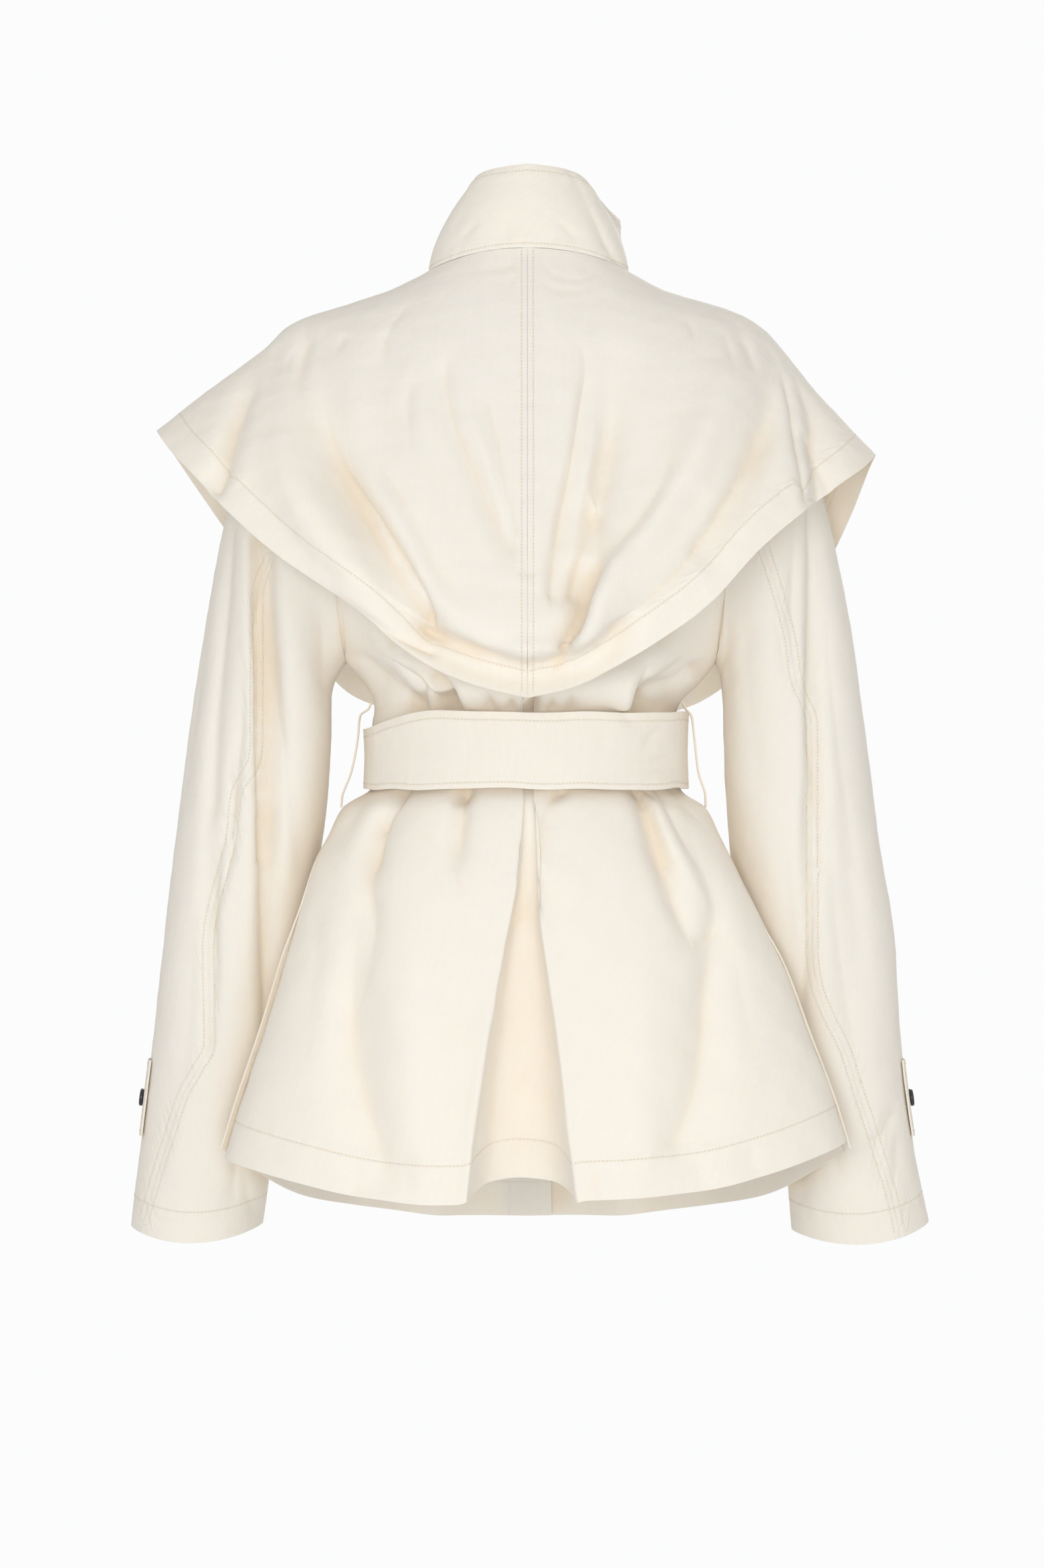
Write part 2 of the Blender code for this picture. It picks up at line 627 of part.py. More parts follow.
def collar(turns, up):
    """The collar: turns run from -1 (front left) through 0 (behind) to 1 (front right)."""
    turns, up = np.meshgrid(turns, up)
    turn = -90 + (90 + COLLAR[-1].turn) * abs(turns)
    right = turns > 0
    lean = np.where(right, read(COLLAR, "turn", "right_lean", turn), read(COLLAR, "turn", "left_lean", turn))
    top = np.where(right, read(COLLAR, "turn", "right_top", turn), read(COLLAR, "turn", "left_top", turn))
    half = np.where(right, RIDGE[0].right_x, RIDGE[0].left_x)
    side_z = np.where(right, RIDGE[0].right_z, RIDGE[0].left_z)
    cosine, sine = np.cos(np.radians(turn)), np.sin(np.radians(turn))
    middle_z = np.where(sine < 0, MIDDLE[0].back_z, MIDDLE[0].front_z)
    base = side_z + (middle_z - side_z) * sine**2 + COLLAR_LIFT
    size = 1 + (lean - 1) * up**COLLAR_LEAN_GROWTH
    x = np.sign(turns) * half * cosine * size
    y = MIDDLE[0].back_y * sine * size
    return np.stack([x, y, base + (top - base) * up], -1)


def body_below(face, out, level):
    """The body from the underarm down: face is -1 behind and 1 in front, out is -1 to 1."""
    out, level = np.meshgrid(out, level)
    half = np.where(out < 0, read(BODY, "z", "left", level), read(BODY, "z", "right", level))
    side_y = read(BODY, "z", "side_y", level) + face * (SEAM_GAP if face < 0 else SIDE_SEAM_GAP)
    depth = read(BODY, "z", "back" if face < 0 else "front", level)
    forward = np.sqrt(np.clip(1 - out**2, 0, 1))
    if face > 0:
        drawn_in = step(-level, *FRONT_DRAWN)
        forward = forward + (read(FRONT_PLAN, "out", "forward", abs(out)) - forward) * drawn_in
    y = side_y + (face * depth - side_y) * forward
    if face < 0:
        left, right = (read(SKIRT_HEM, "out", name, abs(out)) for name in ("back_left", "back_right"))
        hem = np.where(out < 0, left, right)
    else:
        hem = read(SKIRT_HEM, "out", "front", abs(out))
    below = np.minimum(level - BELT_BOTTOM, 0) / (-BACK_LENGTH - BELT_BOTTOM)
    z = np.maximum(level, BELT_BOTTOM) + below * (hem - BELT_BOTTOM)
    return np.stack([half * out, y, z], -1)


def body_above(face, out, rise):
    """The body from the underarm up to the shoulder seams and the neck."""
    out, rise = np.meshgrid(out, rise)
    lift = (1 - np.cos(np.pi * rise)) / 2
    underarm = np.where(out < 0, UNDERARM_X[-1], UNDERARM_X[1])
    half = underarm + (SHOULDER_X - underarm) * lift
    neck_x = np.where(out < 0, RIDGE[0].left_x, RIDGE[0].right_x) - NECK_INSET
    top_x = abs(out) * SHOULDER_X
    ring = np.sqrt(np.clip(1 - (top_x / neck_x) ** 2, 0, 1))
    neck_z, middle_z = RIDGE[0].left_z - NECK_INSET, NECK_MIDDLE_Z[face]
    seam = read(SHOULDER_SEAM, "x", "z", np.maximum(top_x, neck_x))
    top_z = np.where(top_x < neck_x, neck_z + (middle_z - neck_z) * ring**2, seam)
    top_y = np.maximum(NECK_DEPTH[face] * ring, 2 * SEAM_GAP)
    z = UNDERARM_Z + (top_z - UNDERARM_Z) * lift
    middle = UNDERARM_Z + (middle_z - UNDERARM_Z) * lift
    depth = read(TORSO, "z", "back" if face < 0 else "front", middle)
    edge = ARMHOLE_HALF_DEPTH * np.sin(np.pi * rise)
    rounding = ARC_ROUNDING + (1 - ARC_ROUNDING) * step(rise, 0, ARC_FLATTENS_BY)
    arc = edge + (depth - edge) * np.clip(1 - out**2, 0, 1) ** rounding
    seam_share = rise**SEAM_CLOSES
    y = face * ((1 - seam_share) * np.maximum(arc, 2 * SEAM_GAP) + seam_share * top_y)
    return np.stack([half * out, y, z], -1)


def body(face, out, levels, rises):
    points = np.concatenate([body_below(face, out, levels), body_above(face, out, rises)])
    x, y, z = np.moveaxis(points, -1, 0)
    folds = BODY_BACK_FOLDS if face < 0 else BODY_FRONT_FOLDS
    ease = 1 - step(abs(out), *BODY_FOLDS_FADE)
    points[..., 1] = y - face * relief(x, z, folds) * ease
    return points


def sleeve(side, around, along):
    """The sleeve: around is 0 on its outer side and a quarter turn behind, along runs to the cuff."""
    around, along = np.meshgrid(around, along)
    rows = SLEEVE[side]
    names = ("outer_x", "outer_z", "inner_x", "inner_z", "y", "depth")
    outer_x, outer_z, inner_x, inner_z, centre_y, depth = (read(rows, "along", name, along) for name in names)
    cosine, sine = np.cos(around), np.sin(around)
    x = side * ((outer_x + inner_x) / 2 + (outer_x - inner_x) / 2 * cosine + ARMHOLE_GAP)
    z = (outer_z + inner_z) / 2 + (outer_z - inner_z) / 2 * cosine - CUFF_SAG * along**CUFF_DROOP * sine**2
    behind = relief(x, z, SLEEVE_BACK_FOLDS) * step(sine, *SLEEVE_FOLDS_TURN)
    before = relief(x, z, SLEEVE_FRONT_FOLDS) * step(-sine, *SLEEVE_FOLDS_TURN)
    ease = step(along, 0.0, SLEEVE_FOLDS_BEGIN) * (1 - step(along, SLEEVE_FOLDS_END, 1.0))
    return np.stack([x, centre_y - depth * sine + (behind - before) * ease, z], -1)


def belt(turns, share_up):
    """The belt's ring: it starts in front, goes once round and ends over its own start."""
    turns, share_up = np.meshgrid(turns, share_up)
    angle = np.radians(turns)
    over = LAP_BELT * step(turns, *BELT_RISES)
    half = np.where(np.sin(angle) > 0, BELT_HALF[-1], BELT_HALF[1]) + over
    x = -half * np.sin(angle)
    y = (BELT_DEPTH + over) * np.cos(angle)
    return np.stack([x, y, BELT_BOTTOM + (BELT_TOP - BELT_BOTTOM) * share_up], -1)


def normals(points, wrap):
    """The direction straight off a grid of points; wrap joins its last column to its first."""
    if wrap:
        across = np.roll(points, -1, 1) - np.roll(points, 1, 1)
    else:
        across = np.gradient(points, axis=1)
    down = np.gradient(points, axis=0)
    normal = np.cross(across, down)
    return normal / np.linalg.norm(normal, axis=-1, keepdims=True)


def material(name, color, roughness):
    made = bpy.data.materials.new(name)
    made.use_nodes = True
    shader = made.node_tree.nodes["Principled BSDF"]
    shader.inputs["Base Color"].default_value = (*color, 1)
    shader.inputs["Roughness"].default_value = roughness
    shader.inputs["Metallic"].default_value = 0
    made.diffuse_color = (*color, 1)
    return made


def finish(name, mesh, color, roughness):
    """The mesh as a named object with its own material, faces outwards and smooth."""
    bmesh.ops.recalc_face_normals(mesh, faces=mesh.faces)
    data = bpy.data.meshes.new(name)
    mesh.to_mesh(data)
    mesh.free()
    data.shade_smooth()
    data.set_sharp_from_angle(angle=np.radians(50))
    data.materials.append(material(name, color, roughness))
    made = bpy.data.objects.new(name, data)
    bpy.context.scene.collection.objects.link(made)
    return made


def shell(name, points, wrap=False, wall=CLOTH, color=CREAM, roughness=0.75):
    """A closed wall of cloth about a grid of points: two faces and the rim between them."""
    rows, columns = points.shape[:2]
    offset = normals(points, wrap) * wall / 2
    mesh = bmesh.new()
    faces = []
    for side in (points + offset, points - offset):
        faces.append([[mesh.verts.new(point) for point in row] for row in side])
    outer, inner = faces
    for i in range(rows - 1):
        for j in range(columns if wrap else columns - 1):
            k = (j + 1) % columns
            corners = ((i, j), (i, k), (i + 1, k), (i + 1, j))
            a, b, c, d = (points[corner] for corner in corners)
            first_is_shorter = np.linalg.norm(a - c) <= np.linalg.norm(b - d)
            cuts = ((0, 1, 2), (0, 2, 3)) if first_is_shorter else ((0, 1, 3), (1, 2, 3))
            for cut in cuts:
                picked = [corners[corner] for corner in cut]
                mesh.faces.new([outer[r][q] for r, q in picked])
                mesh.faces.new([inner[r][q] for r, q in reversed(picked)])
    rims = [[(0, j) for j in range(columns)], [(rows - 1, j) for j in range(columns)]]
    if wrap:
        rims = [rim + rim[:1] for rim in rims]
    else:
        rims += [[(i, 0) for i in range(rows)], [(i, columns - 1) for i in range(rows)]]
    for rim in rims:
        for (a, b), (c, d) in zip(rim, rim[1:]):
            mesh.faces.new([outer[a][b], outer[c][d], inner[c][d], inner[a][b]])
    return finish(name, mesh, color, roughness)


def build_cape():
    back = np.linspace(0, 0.5, CAPE_BACK_COLUMNS)
    front = np.linspace(0.5, 1, CAPE_FRONT_COLUMNS)[1:]
    above = (1 - HEM_BAND) * (1 - (1 - np.linspace(0, 1, CAPE_ROWS)) ** CAPE_ROWS_CLOSE_UP)
    band = 1 - HEM_BAND * np.array(CAPE_BAND_ROWS)
    for word, side in SIDES.items():
        points = cape(side, np.concatenate([back, front]), np.concatenate([above, band]))
        shell("cape_" + word, points)


def build_collar():
    shell("collar", collar(np.linspace(-1, 1, COLLAR_COLUMNS), np.linspace(0, 1, COLLAR_ROWS)))


def pleated(points):
    """The back with its inverted pleat: the middle columns sink between the pleat's edges."""
    middle = points.shape[1] // 2
    z = points[:, middle, 2].copy()
    left, right, depth = (read(PLEAT, "z", name, z) for name in ("left", "right", "depth"))
    flat = points.copy()
    reach = middle - PLEAT_COLUMNS
    for row, (x, y, height) in enumerate(np.moveaxis(flat, -1, 1)):
        beside = abs(x) / abs(x).max()
        for way, edge in ((-1, left[row]), (1, right[row])):
            picked = slice(0, reach + 1) if way < 0 else slice(middle + PLEAT_COLUMNS, None)
            share = (beside[picked] - beside[picked].min()) / np.ptp(beside[picked])
            end = x[0] if way < 0 else x[-1]
            moved = edge + (end - edge) * share
            points[row, picked, 0] = moved
            points[row, picked, 1] = np.interp(moved, x, y)
            points[row, picked, 2] = np.interp(moved, x, height)
    below = step(-z, -BELT_BOTTOM, BACK_LENGTH)
    for part in PLEAT_SECTION:
        points[:, middle + part.place, 0] = left + (right - left) * part.across
        points[:, middle + part.place, 1] = flat[:, middle, 1] + depth * part.sunk
        points[:, middle + part.place, 2] = z + PLEAT_RISE * below * part.sunk
    return points


def spread(share):
    """Places from the middle (0) to the side seam (1), closer together as the cloth turns away."""
    return SIDE_WAVE * np.sin(share * np.pi / 2) + (1 - SIDE_WAVE) * share


def build_body():
    levels = np.array(SKIRT_ROWS + WAIST_ROWS)
    rises = np.linspace(0, 1, BODY_UPPER_ROWS)
    side = spread(np.linspace(BACK_FIRST_COLUMN, 1, BACK_COLUMNS))
    back = np.concatenate([-side[::-1], (-PLEAT_COLUMN, 0.0, PLEAT_COLUMN), side])
    shell("back_body", pleated(body(-1, back, levels, rises)))
    under = OVERLAP / BODY[-1].left
    side = spread(np.linspace(FRONT_FIRST_COLUMN, 1, FRONT_COLUMNS))
    out = np.concatenate([(-under, -under / 2, 0, under / 2, under), side])
    for word, way in SIDES.items():
        columns = way * out
        points = body(1, columns, levels, rises)
        if way > 0:
            points[..., 1] += FRONT_LAP * (1 - step(points[..., 0], *FRONT_LAP_FADE))
        shell("front_" + word, points)


def build_sleeves():
    """Each sleeve, and its strap and button, made from the sleeve's own points moved out."""
    around = np.radians(np.arange(0, 360, SLEEVE_STEP))
    strap_rows = read(SLEEVE[-1], "outer_z", "along", np.linspace(TAB_TOP, TAB_BOTTOM, 3))
    above = np.concatenate([SLEEVE_UPPER_ROWS, SLEEVE_LOWER_ROWS])
    along = np.concatenate([above, strap_rows, SLEEVE_CUFF_ROWS])
    first = len(above)
    columns = [turn // SLEEVE_STEP % len(around) for turn in range(TAB_START, TAB_END + 1, SLEEVE_STEP)]
    for word, side in SIDES.items():
        points = sleeve(side, around, along)
        shell("sleeve_" + word, points, wrap=True)
        off = normals(points, True) * side
        strap = (points + off * LAP)[first : first + 3][:, columns]
        shell("cuff_tab_" + word, strap)
        build_button("button_" + word, strap[1, columns.index(0)], off[first + 1, 0])


def build_button(name, spot, off):
    """A dished round button standing on the cloth's middle at the spot, facing off it."""
    across = np.cross(off, (0, 0, 1))
    across /= np.linalg.norm(across)
    up = np.cross(across, off)
    base = spot + off * (CLOTH / 2 + 2 * SEAM_GAP)
    turns = np.linspace(0, 2 * np.pi, BUTTON_SIDES + 1)[:-1]
    mesh = bmesh.new()
    loops = []
    for ring in BUTTON_PROFILE:
        centre = base + off * ring.high * BUTTON_HEIGHT
        spokes = [across * np.cos(turn) + up * np.sin(turn) for turn in turns]
        loops.append([mesh.verts.new(centre + spoke * ring.wide * BUTTON_RADIUS) for spoke in spokes])
    for low, high in zip(loops, loops[1:]):
        for j in range(len(turns)):
            k = (j + 1) % len(turns)
            mesh.faces.new([low[j], low[k], high[k], high[j]])
    mesh.faces.new(loops[0][::-1])
    mesh.faces.new(loops[-1])
    return finish(name, mesh, HORN, 0.35)


def build_belt():
    turns = np.linspace(-BELT_OVERLAP / 2, 360 + BELT_OVERLAP / 2, BELT_COLUMNS)
    points = belt(turns, np.linspace(0, 1, 3))
    shell("belt", points, wall=BELT_WALL)
    front = np.array([0.0, BELT_DEPTH + LAP_BELT + (BELT_WALL - CLOTH) / 2, (BELT_TOP + BELT_BOTTOM) / 2])
    build_button("belt_button", front, np.array([0.0, 1.0, 0.0]))


def build_carriers():
    for word, side in SIDES.items():
        path = fine_path(CARRIER[side])[::2]
        points = np.stack([
            np.stack([side * path[:, 0], np.full(len(path), y), path[:, 1]], -1)
            for y in (CARRIER_Y - CARRIER_WIDTH / 2, CARRIER_Y + CARRIER_WIDTH / 2)
        ])
        shell("belt_loop_" + word, points, wall=CARRIER_WALL)


def main():
    for old in list(bpy.data.objects):
        bpy.data.objects.remove(old)
    build_cape()
    build_collar()
    build_body()
    build_sleeves()
    build_belt()
    build_carriers()


main()
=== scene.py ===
"""The looks of a cream cotton jacket with a cape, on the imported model. Metres, +Z up, the back faces -Y."""

from collections import namedtuple

import bpy
import numpy as np
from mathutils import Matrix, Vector
from mathutils.bvhtree import BVHTree


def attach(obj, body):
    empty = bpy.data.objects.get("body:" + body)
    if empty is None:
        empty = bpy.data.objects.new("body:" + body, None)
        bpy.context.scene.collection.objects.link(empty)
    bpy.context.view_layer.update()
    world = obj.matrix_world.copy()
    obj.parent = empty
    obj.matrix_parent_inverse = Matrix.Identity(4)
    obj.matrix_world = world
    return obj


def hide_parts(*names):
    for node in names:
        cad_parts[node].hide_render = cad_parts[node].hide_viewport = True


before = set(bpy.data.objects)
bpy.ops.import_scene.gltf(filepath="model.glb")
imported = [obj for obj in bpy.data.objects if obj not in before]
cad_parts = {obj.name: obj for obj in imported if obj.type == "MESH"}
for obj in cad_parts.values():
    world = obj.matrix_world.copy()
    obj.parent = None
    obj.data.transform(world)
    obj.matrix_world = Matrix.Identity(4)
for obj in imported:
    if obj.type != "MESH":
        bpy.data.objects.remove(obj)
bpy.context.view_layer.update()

Fold = namedtuple("Fold", "path depth width lean", defaults=[0])


def table(columns, *rows):
    """Rows with named columns."""
    Row = namedtuple("Row", columns)
    return [Row(*row) for row in rows]


def creases(*rows):
    """Creases: each is a path in the picture's pixels, its depth at start, middle and end (below zero it
    stands out) and half width at start and end, in millimetres, and a lean that widens its left side."""
    return [Fold(np.reshape(path, (-1, 2)), *rest) for path, *rest in rows]


def folds(*rows):
    """The same with the path in x and z and in millimetres too, all of it turned into metres."""
    scaled = lambda fold: [np.divide(part, 1000) for part in fold[:3]]
    return [Fold(*scaled(fold), fold.lean) for fold in creases(*rows)]


# Driving sizes
CLOTH = 0.0014
SEAM_GAP = 0.0003
LAP = CLOTH + SEAM_GAP
BACK_LENGTH = 0.741
BELT_TOP = -0.363
BELT_BOTTOM = -0.424
BELT_WALL = 0.0020
BELT_OVERLAP = 24
UNDERARM_Z = -0.3215
SHOULDER_X = 0.175
SHOULDER_Z = -0.0665
ARMHOLE_HALF_DEPTH = 0.072
UNDERARM_X = {-1: 0.147, 1: 0.152}
HEM_BAND = 0.095
OVERLAP = 0.020
TAB_TOP = -0.645
TAB_BOTTOM = -0.707
BUTTON_RADIUS = 0.0072
BUTTON_HEIGHT = 0.0030

# The shoulder line of the cape, from the neck to the wing tip
RIDGE = table(
    "along left_x left_z right_x right_z",
    (0.00, 0.079, -0.006, 0.081, -0.006),
    (0.15, 0.111, -0.021, 0.113, -0.022),
    (0.28, 0.142, -0.031, 0.145, -0.031),
    (0.42, 0.175, -0.041, 0.172, -0.040),
    (0.52, 0.195, -0.051, 0.190, -0.051),
    (0.62, 0.212, -0.067, 0.206, -0.068),
    (0.80, 0.255, -0.099, 0.236, -0.105),
    (1.00, 0.300, -0.134, 0.282, -0.154),
)

# The cape's middle, behind and in front: how far out it stands and how low it is
MIDDLE = table(
    "along back_y back_z front_y front_z open",
    (0.000, 0.062, 0.006, 0.062, -0.030, 0.004),
    (0.156, 0.088, -0.050, 0.088, -0.078, 0.006),
    (0.373, 0.113, -0.128, 0.116, -0.150, 0.010),
    (0.587, 0.136, -0.205, 0.140, -0.225, 0.018),
    (0.768, 0.158, -0.270, 0.153, -0.290, 0.028),
    (0.860, 0.171, -0.303, 0.157, -0.322, 0.034),
    (0.905, 0.173, -0.319, 0.158, -0.338, 0.037),
    (1.000, 0.169, -0.3535, 0.160, -0.372, 0.042),
)

# The hem of the cape: how much of its fall it has reached at each share of its width
CAPE_HEM = table(
    "out left_back right_back left_front right_front",
    (0.00, 1.000, 1.000, 1.000, 1.000),
    (0.12, 0.960, 0.960, 0.990, 0.990),
    (0.25, 0.890, 0.872, 0.975, 0.980),
    (0.36, 0.780, 0.778, 0.945, 0.960),
    (0.49, 0.640, 0.640, 0.890, 0.918),
    (0.65, 0.490, 0.405, 0.660, 0.780),
    (0.79, 0.320, 0.238, 0.400, 0.560),
    (0.89, 0.175, 0.130, 0.215, 0.365),
    (0.95, 0.090, 0.070, 0.100, 0.190),
    (1.00, 0.000, 0.000, 0.000, 0.000),
)

# The hem band tucks in under the pouch and flares out again at its edge
TUCK = table(
    "down inward",
    (0.00, 0.000),
    (0.10, 0.004),
    (0.20, 0.018),
    (0.35, 0.022),
    (0.60, 0.020),
    (1.00, 0.009),
)
TUCK_WIDTH = {-1: 0.125, 1: 0.095}

SOFTEST_FOLD = 0.004
CAPE_BACK_FOLDS = folds(
    ((-170, -78, -155, -146, -138, -181, -112, -231, -87, -273, -71, -294), (8, 22, 28), (26, 11), 0.25),
    ((-189, -75, -187, -135, -165, -200, -128, -262), (0, -10, -6), (22, 20)),
    ((-211, -77, -227, -111, -237, -161, -248, -182), (4, 8, 6), (10, 10)),
    ((-116, -62, -114, -105, -105, -186), (1, 7, 2), (16, 14)),
    ((-47, -131, -30, -190, -14, -232, -8, -246), (0, 5, 2), (12, 10)),
    ((-74, -299, -56, -305, -42, -310, -30, -313, -16, -316), (11, 12, 4), (10, 6)),
    ((39, -165, 27, -232, 18, -273), (0, 6, 2), (14, 12)),
    ((73, -62, 66, -105, 60, -169, 52, -215), (2, 12, 7), (20, 16)),
    ((52, -215, 59, -245, 48, -268, 44, -290, 34, -312), (5, 18, 14), (13, 11), 0.45),
    ((156, -61, 167, -85, 158, -108, 135, -155, 97, -215, 62, -273, 46, -312), (0, -14, -8), (22, 15)),
    ((194, -95, 192, -120, 174, -180, 140, -240), (4, 12, 6), (11, 13)),
    ((209, -82, 216, -105, 221, -130, 222, -152, 226, -200), (3, 18, 24), (13, 17), -0.6),
    ((169, -55, 177, -91), (3, 4, 1), (6, 6)),
    ((190, -64, 199, -90), (3, 4, 1), (6, 6)),
    ((-177, -50, -180, -103), (3, 4, 1), (7, 6)),
    ((-198, -62, -206, -116), (3, 4, 1), (7, 6)),
)
CAPE_FRONT_FOLDS = folds(
    ((-165, -85, -150, -150, -120, -235, -105, -330), (3, 14, 18), (22, 20), 0.2),
    ((-215, -85, -226, -140, -222, -200), (2, 8, 8), (12, 14)),
    ((-85, -80, -80, -180, -62, -300), (1, 6, 8), (16, 18)),
    ((160, -85, 152, -160, 135, -250, 118, -340), (3, 12, 18), (20, 20), -0.2),
    ((208, -95, 215, -150, 208, -230), (2, 9, 10), (12, 14)),
    ((90, -80, 78, -190, 70, -310), (1, 7, 8), (16, 18)),
)

# The body below the underarm: half widths at the side seams, depths behind and in front
BODY = table(
    "z left_half right_half back front side_y",
    (UNDERARM_Z, UNDERARM_X[-1], UNDERARM_X[1], 0.120, 0.120, 0.000),
    (-0.340, 0.1300, 0.1370, 0.124, 0.117, 0.000),
    (-0.352, 0.1240, 0.1240, 0.119, 0.107, 0.000),
    (-0.3615, 0.1230, 0.1200, 0.1010, 0.0978, 0.000),
    (-0.370, 0.1250, 0.1225, 0.099, 0.0959, 0.000),
    (-0.4246, 0.1255, 0.1230, 0.099, 0.0959, -0.003),
    (-0.4310, 0.1340, 0.1290, 0.107, 0.105, -0.006),
    (-0.440, 0.1480, 0.1420, 0.113, 0.110, -0.010),
    (-0.466, 0.1600, 0.1540, 0.122, 0.118, -0.020),
    (-0.490, 0.1710, 0.1640, 0.129, 0.124, -0.030),
    (-0.530, 0.1820, 0.1810, 0.138, 0.132, -0.038),
    (-0.588, 0.1970, 0.2050, 0.150, 0.142, -0.046),
    (-0.640, 0.2110, 0.2220, 0.160, 0.150, -0.054),
    (-0.700, 0.2290, 0.2420, 0.171, 0.159, -0.062),
    (-BACK_LENGTH, 0.2400, 0.2530, 0.178, 0.165, -0.066),
)

# The skirt's front in plan, drawn in where the sleeves hang: how far forward it is at each share of its
# half width, and how far below the neck the body begins to take on this plan and has it whole
FRONT_PLAN = table(
    "out forward",
    (0.00, 1.000),
    (0.20, 0.985),
    (0.40, 0.930),
    (0.60, 0.770),
    (0.75, 0.500),
    (0.87, 0.240),
    (1.00, 0.000),
)
DRAWN_IN = (0.42, 0.58)

# The skirt's hem height at each share of its half width
SKIRT_HEM = table(
    "out left_back right_back front",
    (0.00, -0.741, -0.741, -0.788),
    (0.30, -0.743, -0.738, -0.786),
    (0.55, -0.738, -0.733, -0.776),
    (0.75, -0.729, -0.722, -0.760),
    (1.00, -0.716, -0.703, -0.712),
)

# The inverted pleat behind: its two edges, and how deep it opens
PLEAT = table(
    "z left right depth",
    (-0.100, -0.0040, 0.0050, 0.0000),
    (-0.345, -0.0030, 0.0060, 0.0020),
    (-0.362, -0.0040, 0.0055, 0.0040),
    (-0.424, -0.0040, 0.0055, 0.0040),
    (-0.453, -0.0050, 0.0060, 0.0060),
    (-0.491, -0.0080, 0.0075, 0.0110),
    (-0.534, -0.0160, 0.0115, 0.0200),
    (-0.584, -0.0260, 0.0190, 0.0310),
    (-0.634, -0.0350, 0.0260, 0.0420),
    (-0.697, -0.0440, 0.0330, 0.0530),
    (-BACK_LENGTH, -0.0480, 0.0390, 0.0580),
)
PLEAT_RISE = 0.014

# The folds of the body, by its face: behind and in front
BODY_FOLDS = {-1: folds(
    ((-142, -290, -123, -312, -105, -333, -90, -350), (-2, -5, -1), (10, 10)),
    ((-77, -328, -60, -362), (2, 7, 4), (8, 8)),
    ((107, -308, 95, -336, 83, -356), (-2, -8, -2), (12, 10)),
    ((-93, -426, -114, -454, -123, -488, -120, -540), (6, 11, 1), (10, 16)),
    ((-138, -507, -136, -586, -130, -649, -111, -715), (0, 12, 6), (18, 22)),
    ((-98, -500, -92, -600, -85, -730), (0, -6, -6), (18, 24)),
    ((-47, -428, -53, -453, -56, -490), (5, 5, 0), (9, 12)),
    ((89, -428, 99, -459, 115, -501, 126, -540), (6, 10, 3), (10, 12)),
    ((137, -485, 148, -520, 141, -586, 136, -636, 118, -700), (2, 12, 4), (16, 20)),
    ((95, -520, 88, -610, 84, -730), (0, -6, -7), (18, 26)),
), 1: folds(
    ((-80, -428, -92, -470, -100, -540), (5, 9, 1), (10, 16)),
    ((-118, -510, -122, -620, -118, -740), (0, 10, 8), (18, 22)),
    ((-70, -540, -72, -660, -74, -780), (0, 7, 9), (16, 20)),
    ((78, -428, 90, -475, 104, -545), (5, 9, 1), (10, 16)),
    ((126, -500, 128, -610, 122, -740), (0, 10, 8), (18, 22)),
    ((68, -560, 74, -670, 78, -780), (0, 7, 9), (16, 20)),
)}

# The sleeves: each ring runs from its outer edge to its inner one
SLEEVE = table(
    "along left_outer_x left_outer_z left_inner_x left_inner_z "
    "right_outer_x right_outer_z right_inner_x right_inner_z y depth",
    (
        0.00, SHOULDER_X, SHOULDER_Z, UNDERARM_X[-1], UNDERARM_Z,
        SHOULDER_X, SHOULDER_Z, UNDERARM_X[1], UNDERARM_Z, 0.000, ARMHOLE_HALF_DEPTH,
    ),
    (0.07, 0.205, -0.091, 0.153, -0.3310, 0.203, -0.093, 0.156, -0.3310, 0.000, 0.071),
    (0.15, 0.227, -0.137, 0.157, -0.3400, 0.223, -0.140, 0.157, -0.3400, 0.000, 0.069),
    (0.23, 0.239, -0.187, 0.159, -0.3520, 0.238, -0.187, 0.158, -0.3520, 0.000, 0.067),
    (0.31, 0.249, -0.232, 0.159, -0.3680, 0.249, -0.232, 0.159, -0.3680, 0.002, 0.066),
    (0.40, 0.261, -0.298, 0.160, -0.3940, 0.262, -0.297, 0.160, -0.3940, 0.006, 0.064),
    (0.50, 0.274, -0.380, 0.163, -0.4350, 0.274, -0.380, 0.162, -0.4350, 0.012, 0.062),
    (0.60, 0.285, -0.462, 0.171, -0.4920, 0.285, -0.462, 0.167, -0.4920, 0.019, 0.060),
    (0.71, 0.296, -0.548, 0.181, -0.5640, 0.299, -0.548, 0.177, -0.5640, 0.027, 0.058),
    (0.83, 0.307, -0.645, 0.194, -0.6500, 0.306, -0.645, 0.192, -0.6500, 0.034, 0.056),
    (0.92, 0.316, -0.718, 0.208, -0.7180, 0.316, -0.718, 0.210, -0.7180, 0.038, 0.055),
    (1.00, 0.324, -0.781, 0.217, -0.7800, 0.328, -0.778, 0.217, -0.7850, 0.040, 0.056),
)
CUFF_SAG = 0.010

SLEEVE_BACK_FOLDS = folds(
    (
        (-217, -220, -215, -275, -211, -323, -211, -393, -211, -459, -213, -561, -211, -650),
        (4, 13, 2), (11, 10), -0.4,
    ),
    ((-237, -205, -241, -303, -254, -453, -257, -541, -255, -628), (3, 5, 2), (8, 8)),
    ((226, -214, 229, -284, 230, -364, 227, -444, 226, -510), (3, 9, 2), (10, 10), -0.3),
    ((250, -420, 262, -520, 272, -620), (0, 5, 0), (10, 10)),
)
SLEEVE_FRONT_FOLDS = folds(
    ((-222, -300, -230, -400, -240, -540), (2, 10, 0), (12, 12)),
    ((220, -290, 232, -410, 238, -560), (2, 10, 0), (12, 12)),
)

